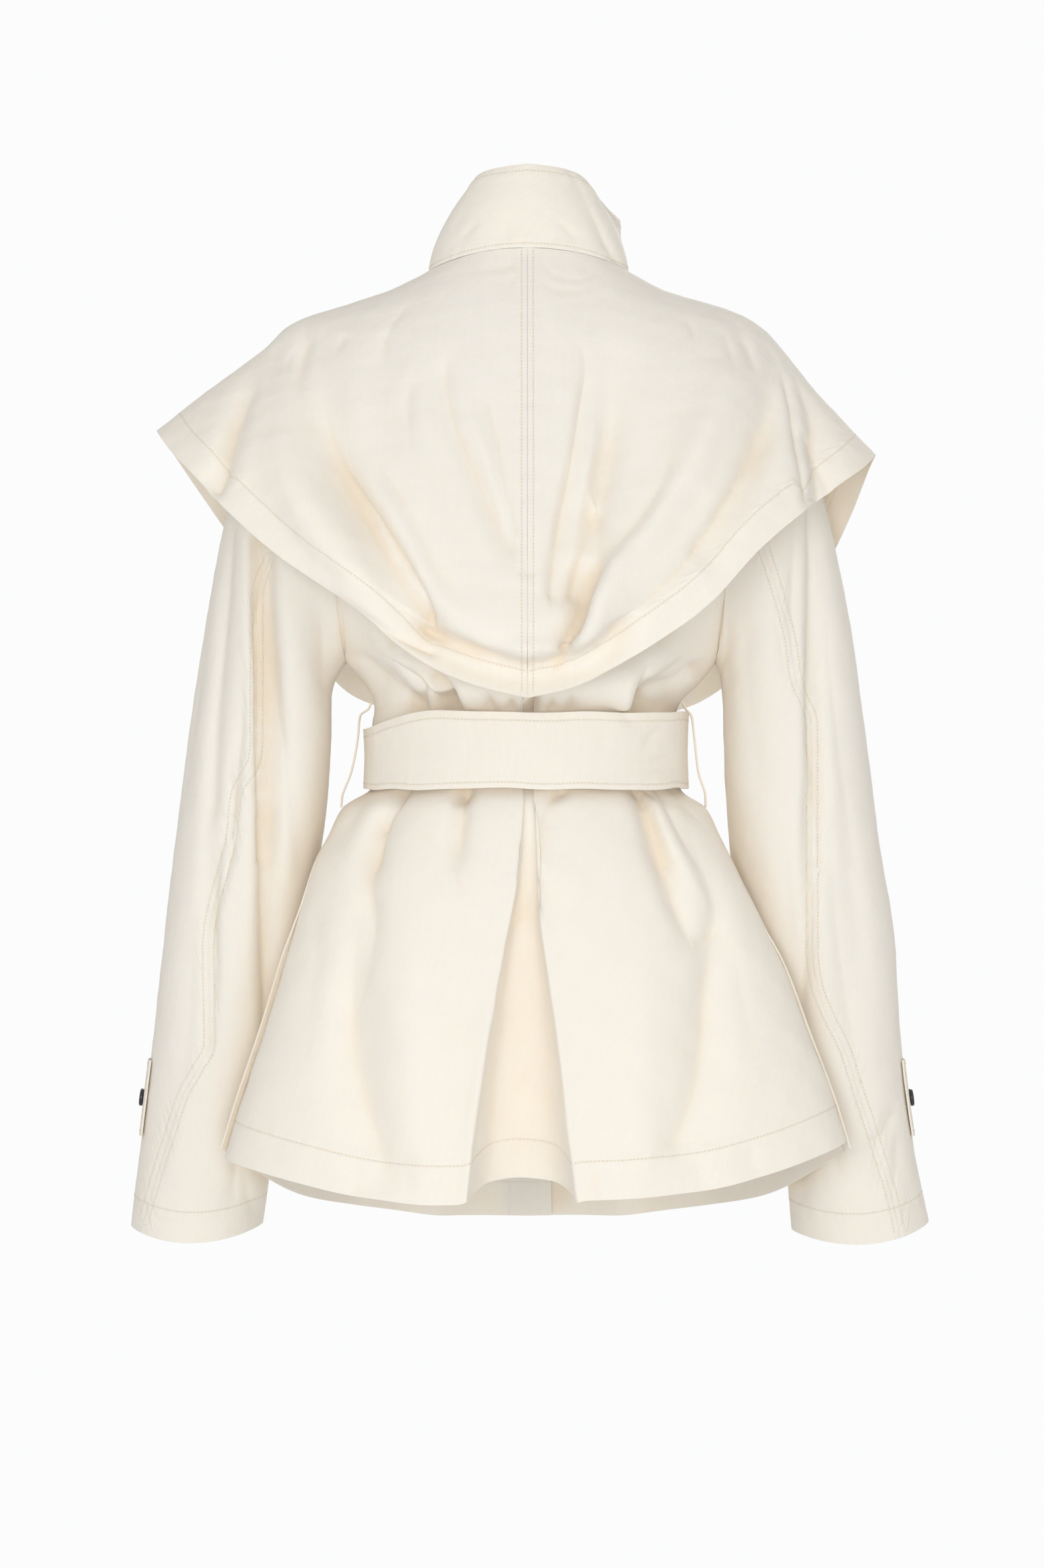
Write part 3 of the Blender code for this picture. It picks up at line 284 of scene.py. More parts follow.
# The collar: how far its top leans in, and the height of its top edge, by the turn from behind
COLLAR = table(
    "turn left_lean right_lean left_top right_top",
    (-90, 0.78, 0.78, 0.0755, 0.0755),
    (-45, 0.62, 0.64, 0.0720, 0.0720),
    (-10, 0.57, 0.66, 0.0655, 0.0600),
    (5, 0.565, 0.78, 0.0630, 0.0490),
    (20, 0.585, 0.99, 0.0590, 0.0390),
    (35, 0.615, 1.06, 0.0545, 0.0360),
    (55, 0.68, 1.08, 0.0470, 0.0330),
    (86, 0.80, 1.10, 0.0400, 0.0300),
)

# The narrow carriers at the body's sides: x and z in metres, in turn, from above the belt to below it
CARRIER = {
    -1: (
        0.1264, -0.3540, 0.1285, -0.3590, 0.1355, -0.3650, 0.1375, -0.3840,
        0.1425, -0.4100, 0.1500, -0.4300, 0.1508, -0.4390,
    ),
    1: (
        0.1258, -0.3540, 0.1280, -0.3590, 0.1330, -0.3650, 0.1355, -0.3840,
        0.1385, -0.4100, 0.1443, -0.4290, 0.1446, -0.4390,
    ),
}
CARRIER_WIDTH = 0.008
CARRIER_WALL = 0.0020

# The neck of the body lies just inside the neck of the cape
NECK_INSET = 0.0020
NECK_DEPTH = {-1: 0.0600, 1: 0.0568}
NECK_MIDDLE_Z = {-1: 0.001, 1: -0.039}
ARMHOLE_GAP = 0.0006
FRONT_LAP = 0.0030
SIDE_GAPS = {-1: SEAM_GAP, 1: 0.0010}

SHOULDER_SEAM = table(
    "x z",
    (0.070, -0.0080),
    (0.081, -0.0090),
    (0.111, -0.0270),
    (0.142, -0.0400),
    (SHOULDER_X, SHOULDER_Z),
)

# How far the body stands out along its middle, above the underarm
TORSO = table(
    "z back front",
    (0.001, 0.060, 0.0545),
    (-0.039, 0.075, 0.0568),
    (-0.078, 0.087, 0.0770),
    (-0.120, 0.097, 0.101),
    (-0.200, 0.109, 0.115),
    (UNDERARM_Z, 0.120, 0.120),
)

COLLAR_LIFT = 0.42
CLOSED_SEAM = 0.00006
BELT_HALF = {-1: 0.131, 1: 0.129}
BELT_DEPTH = 0.1045
LAP_BELT = 0.0025
TAB_END = 20
TAB_START = -120
CARRIER_Y = -0.004

# The picture's frame, in its own pixels and in metres at the middle of the jacket
PICTURE = (1568, 2355)
CAMERA_DISTANCE = 3.2
VIEW_HEIGHT = 1.2717
CAMERA_X, CAMERA_Z = -0.0043, -0.42
MM = 0.001

# Finer creases: how abrupt they are, how far the cloth faces the viewer where they start and are whole,
# their share in front of the cape and the rest, and the heights between which they fade on the sleeves
CREASE_SHARPNESS = 1.5
FACING = (0.05, 0.35)
CAPE_BEFORE = 0.6
CREASED_BEFORE = 0.7
UNDER_CAPE = (-0.26, -0.16)
CAPE_CREASES = creases(
    ((479, 570, 491, 633, 514, 696, 560, 766, 602, 829, 633, 885, 651, 931), (2, 6, 7), (7, 4.5), 0.5),
    ((539, 570, 547, 633, 570, 700, 605, 752, 630, 801, 651, 850, 686, 899), (1, 4, 2), (12, 9)),
    ((525, 661, 560, 724, 602, 787, 637, 857), (-1, -3, -2), (9, 7)),
    ((671, 507, 668, 556, 679, 619, 711, 696, 739, 766, 767, 829), (3.5, 7.5, 3.5), (7.5, 7), 0.3),
    ((725, 549, 732, 605, 746, 661, 755, 724, 774, 794), (1.5, 5, 2), (6, 5)),
    ((700, 591, 721, 661, 746, 745, 770, 843), (-1.5, -3.5, -1.5), (7.5, 7)),
    ((865, 486, 881, 549, 872, 619, 860, 689, 847, 759, 835, 822, 826, 892), (3.5, 8, 5), (7.5, 6), -0.3),
    ((932, 549, 921, 633, 905, 703, 891, 773, 872, 843, 861, 892), (1.5, 8, 6.5), (10, 7.5)),
    ((903, 577, 889, 661, 872, 745, 854, 836), (-1.5, -4.5, -1.5), (7.5, 6)),
    ((921, 843, 893, 868, 879, 896, 874, 924, 865, 949, 844, 975), (3.5, 10, 8), (5, 4)),
    ((956, 801, 921, 857, 900, 906, 882, 949, 858, 980), (-3.5, -6.5, -3.5), (7, 5)),
    ((1167, 591, 1145, 661, 1100, 745, 1044, 829, 974, 903, 921, 949), (3.5, 8, 5), (8.5, 7.5)),
    ((1176, 521, 1197, 577, 1205, 633, 1212, 689, 1221, 742), (4, 7, 6), (5, 5), 0.3),
    ((1206, 619, 1226, 668, 1252, 731), (0.5, 3, 2.5), (5, 5)),
    ((465, 479, 446, 521, 444, 556, 449, 584), (1.8, 3.2, 0.8), (5, 5)),
    ((432, 501, 424, 528, 428, 549), (0.8, 2.2, 0.5), (4, 4)),
    ((388, 538, 360, 591, 341, 647, 330, 703, 321, 731), (1.5, 6.5, 6.5), (7.5, 5)),
    ((567, 479, 575, 507, 572, 535), (0.8, 2.2, 0.5), (5, 5)),
    ((617, 433, 588, 468, 571, 510), (0.5, 1.8, 0.5), (5, 4)),
    ((514, 482, 499, 517), (0.5, 1.8, 0.5), (4, 4)),
    ((811, 380, 840, 403, 872, 406, 900, 396), (0.5, 1.4, 0.3), (3, 3)),
    ((807, 403, 835, 424, 872, 424, 914, 408), (0.3, 1.2, 0.3), (3, 3)),
    ((809, 440, 847, 447, 886, 445, 921, 433), (0.3, 0.8, 0.2), (4, 4)),
    ((784, 378, 753, 389, 714, 392), (0.6, 1.2, 0.2), (3, 3)),
    ((786, 407, 758, 410, 721, 406), (0.3, 0.8, 0.1), (4, 3)),
    ((1035, 455, 1044, 479, 1047, 503), (0.5, 1.8, 0.2), (4, 4)),
    ((1089, 472, 1103, 514, 1107, 549), (0.5, 2.2, 0.5), (5, 5)),
    ((1120, 487, 1136, 521, 1142, 556), (0.5, 2.2, 0.5), (5, 5)),
    ((651, 928, 693, 947, 735, 967, 791, 977, 833, 974, 858, 964), (-2, -3.5, -2), (5, 4.5)),
    ((644, 945, 679, 959, 721, 978, 763, 985), (3, 4, 1), (5.5, 5)),
    ((770, 861, 795, 864, 816, 857), (0.5, 2, 0.5), (2.5, 2.5)),
    ((995, 963, 1072, 896, 1156, 826), (-1.5, -3.5, -1.5), (5, 5)),
    ((440, 857, 525, 913, 595, 956, 651, 980), (1.5, 5, 5), (5, 4)),
    ((405, 605, 419, 689, 462, 787, 525, 857), (0, -5, -3.5), (15.5, 13.5)),
    ((356, 689, 398, 759, 462, 829), (0, 3.5, 1.5), (10, 10)),
    ((1023, 633, 995, 717, 939, 801, 903, 843), (0, 5, 1.5), (8.5, 7)),
    ((623, 535, 609, 605, 623, 675), (0, 4.5, 1), (8.5, 7.5)),
)
# The back's creases, one after the other: over the belt, the gathers below the belt, down the skirt
BACK_CREASES = creases(
    ((602, 997, 619, 1028, 628, 1050, 632, 1070), (1.5, 7.5, 9), (6.5, 5), 0.3),
    ((582, 964, 615, 985, 647, 1009, 670, 1038, 682, 1070), (4, 9, 9), (9, 5), 0.4),
    ((653, 1018, 674, 1046, 684, 1070), (4, 7.5, 7.5), (5, 4)),
    ((562, 1001, 582, 1026, 602, 1046, 619, 1067), (1.5, 5, 5), (8, 5)),
    ((725, 1034, 735, 1054, 741, 1069), (1.5, 5, 4), (6.5, 5)),
    ((766, 1046, 771, 1069), (1.5, 4, 4), (6.5, 5)),
    ((807, 1047, 803, 1058, 800, 1070), (5, 10.5, 13), (5, 4)),
    ((833, 1048, 827, 1069), (1.5, 4, 4), (6.5, 5)),
    ((860, 1042, 858, 1069), (1.5, 4, 4), (8, 6.5)),
    ((976, 1001, 968, 1030, 961, 1050, 958, 1070), (5, 10.5, 10.5), (6.5, 5)),
    ((949, 1018, 943, 1042, 937, 1067), (-4, -7.5, -7.5), (10.5, 9)),
    ((1049, 1001, 1023, 1026, 994, 1040, 970, 1058), (4, 7.5, 5), (9, 6.5)),
    ((1039, 1038, 1007, 1058, 976, 1073), (1.5, 5, 4), (8, 6.5)),
    ((1060, 989, 1068, 1022), (1.5, 5, 1.5), (9, 8)),
    ((504, 964, 533, 989, 562, 1018), (1.5, 5, 4), (9, 8)),
    ((500, 905, 540, 960, 600, 1010, 650, 1050, 676, 1068), (2, 7, 8), (12, 7), 0.4),
    ((520, 985, 560, 1020, 600, 1050, 622, 1068), (2, 6, 6), (10, 6), 0.4),
    ((1075, 930, 1040, 985, 990, 1030, 965, 1066), (2, 6, 8), (12, 7), -0.3),
    ((611, 1187, 596, 1211, 573, 1244), (5.5, 5.5, 3.5), (5, 4), 0.5),
    ((573, 1244, 564, 1273, 558, 1301, 553, 1332), (3.5, 5, 1), (4, 7), -0.3),
    ((702, 1187, 697, 1209, 693, 1250, 692, 1295), (6, 5, 1), (5, 8), 0.3),
    ((702, 1187, 690, 1199, 676, 1211), (3.5, 2.5, 0), (4, 4)),
    ((841, 1187, 826, 1201, 817, 1226, 813, 1267, 811, 1299), (6, 5.5, 1), (5, 9), -0.3),
    ((960, 1182, 971, 1205, 984, 1244, 1002, 1299), (6, 6, 3.5), (5, 8), 0.3),
    ((968, 1182, 980, 1191, 986, 1201), (5, 3.5, 1), (3, 3)),
    ((990, 1181, 1007, 1213, 1031, 1262, 1051, 1299), (3.5, 5, 2.5), (5, 8)),
    ((1011, 1179, 1039, 1209, 1064, 1242), (2.5, 3.5, 1), (5, 6)),
    ((976, 1193, 995, 1242, 1019, 1295), (-2.5, -3.5, -1), (6, 8)),
    ((553, 1183, 529, 1218, 504, 1267), (1, 3.5, 1), (7, 8)),
    ((573, 1240, 561, 1288, 553, 1324, 561, 1390, 546, 1486), (4, 5.5, 1.5), (5, 10), 0.3),
    ((534, 1390, 528, 1486, 531, 1570, 555, 1666, 582, 1738), (1.5, 5.5, 3), (9, 10)),
    ((690, 1240, 681, 1294, 696, 1348), (1.5, 3.5, 0.5), (7, 8)),
    ((819, 1240, 810, 1294, 819, 1348, 828, 1408), (1.5, 3, 0.5), (8, 8)),
    ((974, 1204, 998, 1294, 1019, 1366, 1031, 1396), (4, 5.5, 3), (6, 7), 0.3),
    ((995, 1222, 1028, 1294, 1052, 1342, 1073, 1366), (-1, -3, -1), (8, 9)),
    ((1031, 1204, 1058, 1300, 1076, 1366, 1073, 1402, 1052, 1417), (1, 3, 2.5), (8, 7)),
    ((1019, 1372, 1034, 1405, 1052, 1417), (1, 1.5, 1), (8, 7)),
    ((1073, 1408, 1061, 1486, 1055, 1558, 1043, 1630, 1013, 1708), (4, 5.5, 3), (8, 9)),
    ((1103, 1402, 1115, 1486, 1133, 1570), (0, 3.5, 0.5), (12, 14)),
    ((744, 1402, 733, 1510, 714, 1630, 700, 1726), (0, -2, -1.5), (8, 10)),
    ((792, 1348, 777, 1402), (1.5, 3.5, 0.5), (5, 5)),
    ((473, 1330, 468, 1450, 459, 1570), (0, 3.5, 0.5), (13, 15)),
    ((618, 1720, 617, 1785), (0.5, 1.5, 1), (8, 9)),
    ((537, 1714, 540, 1779), (0.5, 1.5, 1.5), (7, 9)),
    ((1043, 1726, 1049, 1779), (0.5, 1.5, 1.5), (8, 9)),
    ((1121, 1708, 1130, 1755), (0.5, 1.5, 1.5), (8, 9)),
    ((888, 1738, 894, 1797), (0.5, 1.5, 1.5), (8, 9)),
)

# Each sleeve's creases behind
SLEEVE_CREASES = {-1: creases(
    ((385, 811, 388, 854, 389, 948, 392, 1057, 392, 1167, 395, 1292), (12, 11, 5), (9, 7), -0.6),
    ((348, 800, 342, 893, 332, 995, 324, 1104, 322, 1214), (3, 5, 3), (6, 7), 0.3),
    ((403, 846, 399, 948, 414, 1057, 438, 1182, 449, 1292), (2, 4, 2), (8, 10)),
    ((371, 995, 364, 1120, 353, 1214, 348, 1292), (1.5, 5, 3), (5.5, 5.5), 0.3),
    ((356, 1120, 346, 1167, 353, 1214, 347, 1268), (1, 3, 1), (4, 4)),
    ((481, 917, 489, 971, 486, 1057), (1, 4, 1.5), (8, 9)),
    ((305, 878, 289, 1026, 272, 1214), (0, 3, 1.5), (8, 9)),
    ((348, 1232, 325, 1303, 319, 1374, 322, 1462, 317, 1565), (3, 6, 2), (5, 7), 0.3),
    ((364, 1248, 348, 1287, 336, 1335, 325, 1367), (2, 4, 1.5), (4, 4)),
    ((394, 1232, 394, 1359, 397, 1501, 392, 1573), (5, 6, 2), (6, 7), -0.5),
    ((301, 1295, 289, 1406, 281, 1533, 265, 1644), (0, 3, 1), (9, 11)),
    ((384, 1597, 368, 1668, 356, 1723, 348, 1803), (2, 5, 2), (6, 6), 0.2),
    ((360, 1747, 368, 1803, 378, 1835), (1, 2, 1), (5, 5)),
    ((253, 1644, 241, 1716, 233, 1787), (0.5, 2, 0.5), (8, 9)),
), 1: creases(
    ((1191, 783, 1189, 865, 1186, 948, 1191, 1031), (1.5, 6, 2), (8, 8)),
    ((1216, 769, 1219, 879, 1218, 990, 1216, 1086, 1222, 1183, 1229, 1293), (5, 8, 5), (6, 8), -0.3),
    ((1236, 824, 1247, 990, 1264, 1141, 1282, 1293), (0, 5, 2.5), (10, 12)),
    ((1129, 852, 1114, 948, 1123, 1058, 1140, 1183), (0, 3, 1), (11, 12)),
    ((1157, 927, 1167, 976, 1179, 1024), (1, 2.5, 1), (4, 4)),
    ((1091, 893, 1087, 962, 1088, 1058), (1, 3, 1), (6, 7)),
    ((1214, 1200, 1215, 1327, 1210, 1438, 1202, 1549), (4, 7, 2), (6, 8)),
    ((1245, 1248, 1257, 1390, 1277, 1533, 1301, 1676), (2, 4.5, 2), (9, 10)),
    ((1174, 1248, 1186, 1374, 1191, 1486), (0, 3, 1), (9, 9)),
    ((1233, 1644, 1253, 1716, 1261, 1755), (1, 3, 1.5), (5, 5)),
    ((1206, 1676, 1202, 1739, 1210, 1803), (1, 4, 1.5), (6, 6)),
    ((1345, 1676, 1325, 1708, 1301, 1720), (3, 3, 1), (5, 5)),
    ((1352, 1708, 1350, 1755, 1341, 1787), (1, 2, 1), (5, 5)),
    ((1317, 1723, 1323, 1787), (1, 2, 1), (5, 6)),
)}
COLLAR_CREASES = creases(
    ((866, 269, 897, 333, 912, 364, 930, 394, 938, 416), (1, 3, 2), (5, 4), 0.3),
    ((720, 330, 704, 347, 690, 360), (0.5, 2, 0.5), (5, 4)),
    ((700, 300, 688, 330, 676, 352), (0.3, 1.2, 0.3), (5, 5)),
    ((835, 335, 854, 350, 870, 365), (0.5, 2, 0.5), (5, 4)),
    ((815, 372, 840, 362, 862, 366), (0.3, 1.2, 0.3), (4, 4)),
    ((750, 372, 762, 350, 768, 320), (0.2, 1, 0.2), (6, 6)),
)
BELT_CREASES = creases(
    ((930, 1067, 946, 1084, 975, 1098), (2, 2, 0.3), (5, 4)),
    ((1000, 1085, 978, 1105, 962, 1130), (0.5, 1.5, 0.3), (4, 4)),
    ((1008, 1130, 985, 1140, 955, 1146), (0.5, 1.3, 0.2), (4, 3)),
    ((1012, 1158, 990, 1156, 966, 1166), (0.5, 1.2, 0.2), (4, 3)),
    ((890, 1080, 902, 1110, 898, 1140), (0.2, 0.8, 0.2), (6, 6)),
    ((585, 1085, 602, 1108, 606, 1140), (0.3, 0.9, 0.2), (5, 5)),
    ((700, 1084, 706, 1120, 698, 1160), (0.2, 0.6, 0.2), (7, 7)),
)

# How far behind the middle stands the upright plane on which each of them is read
CAPE_PLANE, COLLAR_PLANE, BACK_PLANE, SLEEVE_PLANE, BELT_PLANE = -0.13, -0.05, -0.12, -0.03, -0.10

# The sleeves' seams behind: x and z in millimetres
SLEEVE_SEAM = {
    -1: (
        -206, -239, -216, -273, -217, -393, -233, -428, -237, -462, -244, -488, -257, -549, -256, -628,
        -265, -648, -278, -671, -289, -703, -299, -733, -311, -773,
    ),
    1: (
        187, -232, 199, -268, 209, -304, 214, -336, 222, -355, 228, -373, 229, -553, 232, -579,
        241, -604, 256, -634, 266, -665, 275, -691, 284, -719, 295, -754, 302, -787,
    ),
}

# Small uneven wrinkles of each piece: the seed, the size and the height of their waves
RIPPLE_WAVES = 14
RIPPLES = {
    "cape": ((11, 0.035, 0.0016), (12, 0.013, 0.0005)),
    "collar": ((21, 0.030, 0.0010), (22, 0.011, 0.0004)),
    "back": ((31, 0.040, 0.0016),),
    "sleeve_left": ((41, 0.045, 0.0014), (43, 0.016, 0.0006)),
    "sleeve_right": ((42, 0.045, 0.0014), (44, 0.016, 0.0006)),
    "cuff_tab_left": ((51, 0.020, 0.0005),),
    "cuff_tab_right": ((52, 0.020, 0.0005),),
    "belt": ((61, 0.024, 0.0007),),
}

# How many columns and rows each grid has, in its stretches
CAPE_GRID = (172, 74, 120, 28)
COLLAR_GRID = (220, 36)
PLEAT_GRID = (104, 46)
BACK_GRID = (401, 130, 38, 18)
FRONT_GRID = (16, 76, 84, 24, 20)
SLEEVE_GRID = (162, 176, 12)
TAB_GRID = (72, 24)
BELT_GRID = (340, 26)
CARRIER_ROWS = 9
BUTTON_SIDES = 48

# Finer sizes of the cloth that shows
THREAD = 0.0005
STITCH = 0.0030
STITCH_LENGTH = 0.0023
STITCH_HALF = 0.00030
SEAM_STEP = 0.0045
CAPE_HEM_STITCH = 0.0235
SKIRT_HEM_STITCH = 0.0300
CUFF_STITCH = 0.0250
COLLAR_STITCH = 0.0055
COLLAR_BASE_STITCH = 0.0035
BELT_STITCH = 0.0045
BELT_TOP_STITCH = 0.0065
BELT_SAG = 0.013
BELT_SAG_AT = -0.136
BELT_SAG_WIDE = 0.030
TAB_STITCH = 0.0035
PLACKET_STITCH = 2 * OVERLAP - 0.004
TAB_LIFTS = 0.0012
TAB_LIFT_TURN = 26
CUFF_MIDDLE = (0.262, 0.036)
CARRIER_STITCH = 0.0015
ALLOWANCE = (0.020, 0.006, 0.0008)
SIDE_ALLOWANCE = ((0.0012, 0.0017), (0.0040, 0.0020), (0.0100, 0.0024))
CAPE_EASE = 0.25
BELT_BUTTON_LIFT = 0.0014
FAR = 1.0
PATH_STEP = 0.002
BAND_EDGE = 0.0006
EDGE_AXIS = {"first": 0, "last": 0, "left": 1, "right": 1}
FACES = {-1: "back", 1: "front"}

# At stitches: where the groove and the puckers beside them fade out, and how much painted shade the groove
# gets
GROOVE = (0.0003, 0.0014)
SEAM_GROOVE = (0.0002, 0.0010)
PUCKER = (0.001, 0.011)
GROOVE_SHADE_SHARE = 0.08
CLOUD_TINT = (0.985, 0.978, 0.962)

# How shut in the cloth lies, for painted shade: rays of this reach are cast from every few points, and where
# some share of them meets cloth the deep tint, a painted shade, comes in up to the shut share. A small hollow
# adds painted shade up to the sunk share.
SHADE_STEP = 3
SHADE_RAYS = 20
SHADE_REACH = 0.11
SHADE_LIFT = 0.002
SHADE_FROM = 0.08
SHADE_TO = 0.50
SHUT_SHADE_SHARE = 0.55
SUNK_SHADE_SHARE = 0.60
HOLLOW_REACH = 0.007
HOLLOW_DEPTH = 0.0014

# The pleat across: the edges roll over and the cloth runs in a little behind them
PLEAT_SECTION = table(
    "share across sunk",
    (0.00, 0.00, 0.00),
    (0.06, 0.010, 0.03),
    (0.22, 0.080, 0.42),
    (0.36, 0.210, 0.82),
    (0.52, 0.480, 1.00),
    (0.66, 0.780, 0.86),
    (0.80, 0.930, 0.45),
    (0.94, 0.990, 0.04),
    (1.00, 1.00, 0.00),
)

# The button in section, as shares of its radius and height
BUTTON_PROFILE = table(
    "wide high",
    (0.90, 0.00),
    (0.97, 0.14),
    (1.00, 0.45),
    (0.97, 0.80),
    (0.90, 0.98),
    (0.83, 0.97),
    (0.74, 0.72),
    (0.62, 0.60),
    (0.30, 0.56),
)

# The studio
FLOOR_Z = -1.30
SWEEP_RADIUS = 14.0
SWEEP_BEND = 4.0
SWEEP_TOP = 12.0
STUDIO_WHITE = (0.973, 0.975, 0.976)
SKY_COLOR = (1.0, 0.966, 0.918)
SKY_STRENGTH = 0.62
LIGHTS = table(
    "name place aim_z size power color",
    ("key", (-0.72, -3.30, -0.06), -0.40, 1.0, 17, (0.998, 0.996, 1.0)),
    ("front", (0.02, -3.42, -0.50), -0.42, 1.2, 18.5, (1.0, 0.990, 0.980)),
    ("low", (0.10, -3.10, -1.30), -0.60, 1.0, 9, (1.0, 0.986, 0.968)),
    ("fill", (2.10, -2.60, -0.30), -0.40, 1.4, 4, (1.0, 0.990, 0.980)),
    ("back", (0.90, 3.10, 0.80), -0.40, 1.6, 34, (1.0, 0.988, 0.965)),
)
PAINTS = {}
GRIDS = []


# Curves and tables
def smooth(at, knots, values):
    """Values read at some places along a smooth curve through the knots, with no overshoot."""
    knots, values = np.asarray(knots, float), np.asarray(values, float)
    rise = np.diff(values) / np.diff(knots)
    same_way = rise[:-1] * rise[1:] > 0
    total = np.where(same_way, rise[:-1] + rise[1:], 1.0)
    inner = np.where(same_way, 2 * rise[:-1] * rise[1:] / total, 0.0)
    slope = np.concatenate([rise[:1], inner, rise[-1:]])
    at = np.clip(at, knots[0], knots[-1])
    cell = np.clip(np.searchsorted(knots, at, side="right") - 1, 0, len(rise) - 1)
    size = np.diff(knots)[cell]
    share = (at - knots[cell]) / size
    ease = share**2 * (3 - 2 * share)
    level = values[cell] * (1 - ease) + values[cell + 1] * ease
    swing = slope[cell] * share * (1 - share) ** 2 - slope[cell + 1] * share**2 * (1 - share)
    return level + size * swing


def read(rows, name, at, by=None):
    """One column of a table read by its first one, or by another, whichever way that one runs."""
    words = (by or rows[0]._fields[0], name)
    knots, values = (np.array([getattr(row, word) for row in rows], float) for word in words)
    way = 1 if knots[-1] > knots[0] else -1
    return smooth(way * np.asarray(at, float), way * knots, values)


def by_side(left, rows, name, at):
    """The same for a column that each side has for itself: the left one's where left is true."""
    return np.where(left, read(rows, "left_" + name, at), read(rows, "right_" + name, at))


def step(at, start, end):
    """0 before the start, 1 past the end, eased between."""
    share = np.clip((at - start) / (end - start), 0, 1)
    return share**2 * (3 - 2 * share)


def crowded(share):
    """Shares from 0 to 1 that come closer together towards 1."""
    return 0.6 * np.sin(share * np.pi / 2) + 0.4 * share


def round_from(out):
    """A round's depth, 1 in its middle and 0 at its sides, at each share of its half width."""
    return np.sqrt(np.clip(1 - out**2, 0, 1))


def fine_path(path):
    """The path's points with a smooth curve's points between them."""
    path = np.array(path, float)
    knots = np.arange(len(path))
    at = np.linspace(0, len(path) - 1, 5 * (len(path) - 1) + 1)
    return np.stack([smooth(at, knots, part) for part in path.T], -1)


def nearest_on(path, x, z):
    """The share along the path of its nearest point, and how far right of it each point lies."""
    legs = np.diff(path, axis=0)
    away = np.stack([x, z], -1)[..., None, :] - path[:-1]
    part = np.clip((away * legs).sum(-1) / (legs**2).sum(-1), 0, 1)
    miss = away - part[..., None] * legs
    gap = np.hypot(miss[..., 0], miss[..., 1])
    right = legs[:, 0] * away[..., 1] - legs[:, 1] * away[..., 0]
    pick = gap.argmin(-1)[..., None]
    part, gap, right = (np.take_along_axis(values, pick, -1)[..., 0] for values in (part, gap, right))
    return (pick[..., 0] + part) / len(legs), np.sign(right) * gap


def relief(x, z, folds):
    """How deep the folds press the cloth in at each (x, z)."""
    total = np.zeros(np.shape(x))
    for fold in folds:
        share, right = nearest_on(fine_path(fold.path), x, z)
        width = fold.width[0] + (fold.width[1] - fold.width[0]) * share
        width = np.maximum(width * np.where(right < 0, 1 + fold.lean, 1 - fold.lean), SOFTEST_FOLD)
        depth = np.clip(smooth(share, (0, 0.5, 1), fold.depth), -width, width)
        total += depth * np.exp(-((right / width) ** 2))
    return total


# The forms
def cape(side, across, down):
    """Half of the cape: across runs from the middle behind (0) to the front (1), down to the hem."""
    across, down = np.meshgrid(across, down)
    half, ridge_z = (by_side(side < 0, RIDGE, axis, down) for axis in "xz")
    front = across > 0.5
    turn = np.where(front, 1 - across, across)
    out = 0.6 * turn + 0.7 * np.sin(np.pi * turn)
    inner = np.where(front, read(MIDDLE, "open", down), CLOSED_SEAM) / half
    out = inner + (1 - inner) * out
    round_off = round_from(out)
    at_hem = np.where(front, *(by_side(side < 0, CAPE_HEM, face, out) for face in ("front", "back")))
    hem_share = down**1.5
    fall = (1 - hem_share) * round_off**2 + hem_share * at_hem
    faces = [[read(MIDDLE, face + axis, down) for face in ("front_", "back_")] for axis in "yz"]
    middle_y, middle_z = (np.where(front, *pair) for pair in faces)
    x = side * half * out
    z = ridge_z + (middle_z - ridge_z) * fall
    y = np.where(front, 1, -1) * middle_y * round_off
    band = np.clip((down - 1 + HEM_BAND) / HEM_BAND, 0, 1)
    tuck = read(TUCK, "inward", band) * (1 - step(abs(x), 0.05, TUCK_WIDTH[side]))
    ease = step(round_off, 0.0, 0.45) * step(down, 0.0, 0.12)
    push = np.where(front, -relief(x, z, CAPE_FRONT_FOLDS), relief(x, z, CAPE_BACK_FOLDS) + tuck)
    return np.stack([x, y + push * ease, z], -1)


def collar(turns, up):
    """The collar: turns run from -1 (front left) through 0 (behind) to 1 (front right)."""
    turns, up = np.meshgrid(turns, up)
    turn = -90 + (90 + COLLAR[-1].turn) * abs(turns)
    left = turns <= 0
    lean, top = (by_side(left, COLLAR, name, turn) for name in ("lean", "top"))
    half, side_z = (by_side(left, RIDGE, axis, 0) for axis in "xz")
    cosine, sine = np.cos(np.radians(turn)), np.sin(np.radians(turn))
    middle_z = np.where(sine < 0, MIDDLE[0].back_z, MIDDLE[0].front_z)
    base = side_z + (middle_z - side_z) * sine**2 + COLLAR_LIFT * LAP
    size = 1 + (lean - 1) * up**1.7
    x = np.sign(turns) * half * cosine * size
    y = MIDDLE[0].back_y * sine * size
    return np.stack([x, y, base + (top - base) * up], -1)


def body_below(face, out, level):
    """The body from the underarm down: face is -1 behind and 1 in front, out is -1 to 1."""
    out, level = np.meshgrid(out, level)
    half = by_side(out < 0, BODY, "half", level)
    side_y = read(BODY, "side_y", level) + face * SIDE_GAPS[face]
    depth = read(BODY, FACES[face], level)
    forward = round_from(out)
    if face > 0:
        forward = forward + (read(FRONT_PLAN, "forward", abs(out)) - forward) * step(-level, *DRAWN_IN)
        hem = read(SKIRT_HEM, "front", abs(out))
    else:
        hem = by_side(out < 0, SKIRT_HEM, "back", abs(out))
    y = side_y + (face * depth - side_y) * forward
    below = np.minimum(level - BELT_BOTTOM, 0) / (-BACK_LENGTH - BELT_BOTTOM)
    z = np.maximum(level, BELT_BOTTOM) + below * (hem - BELT_BOTTOM)
    return np.stack([half * out, y, z], -1)


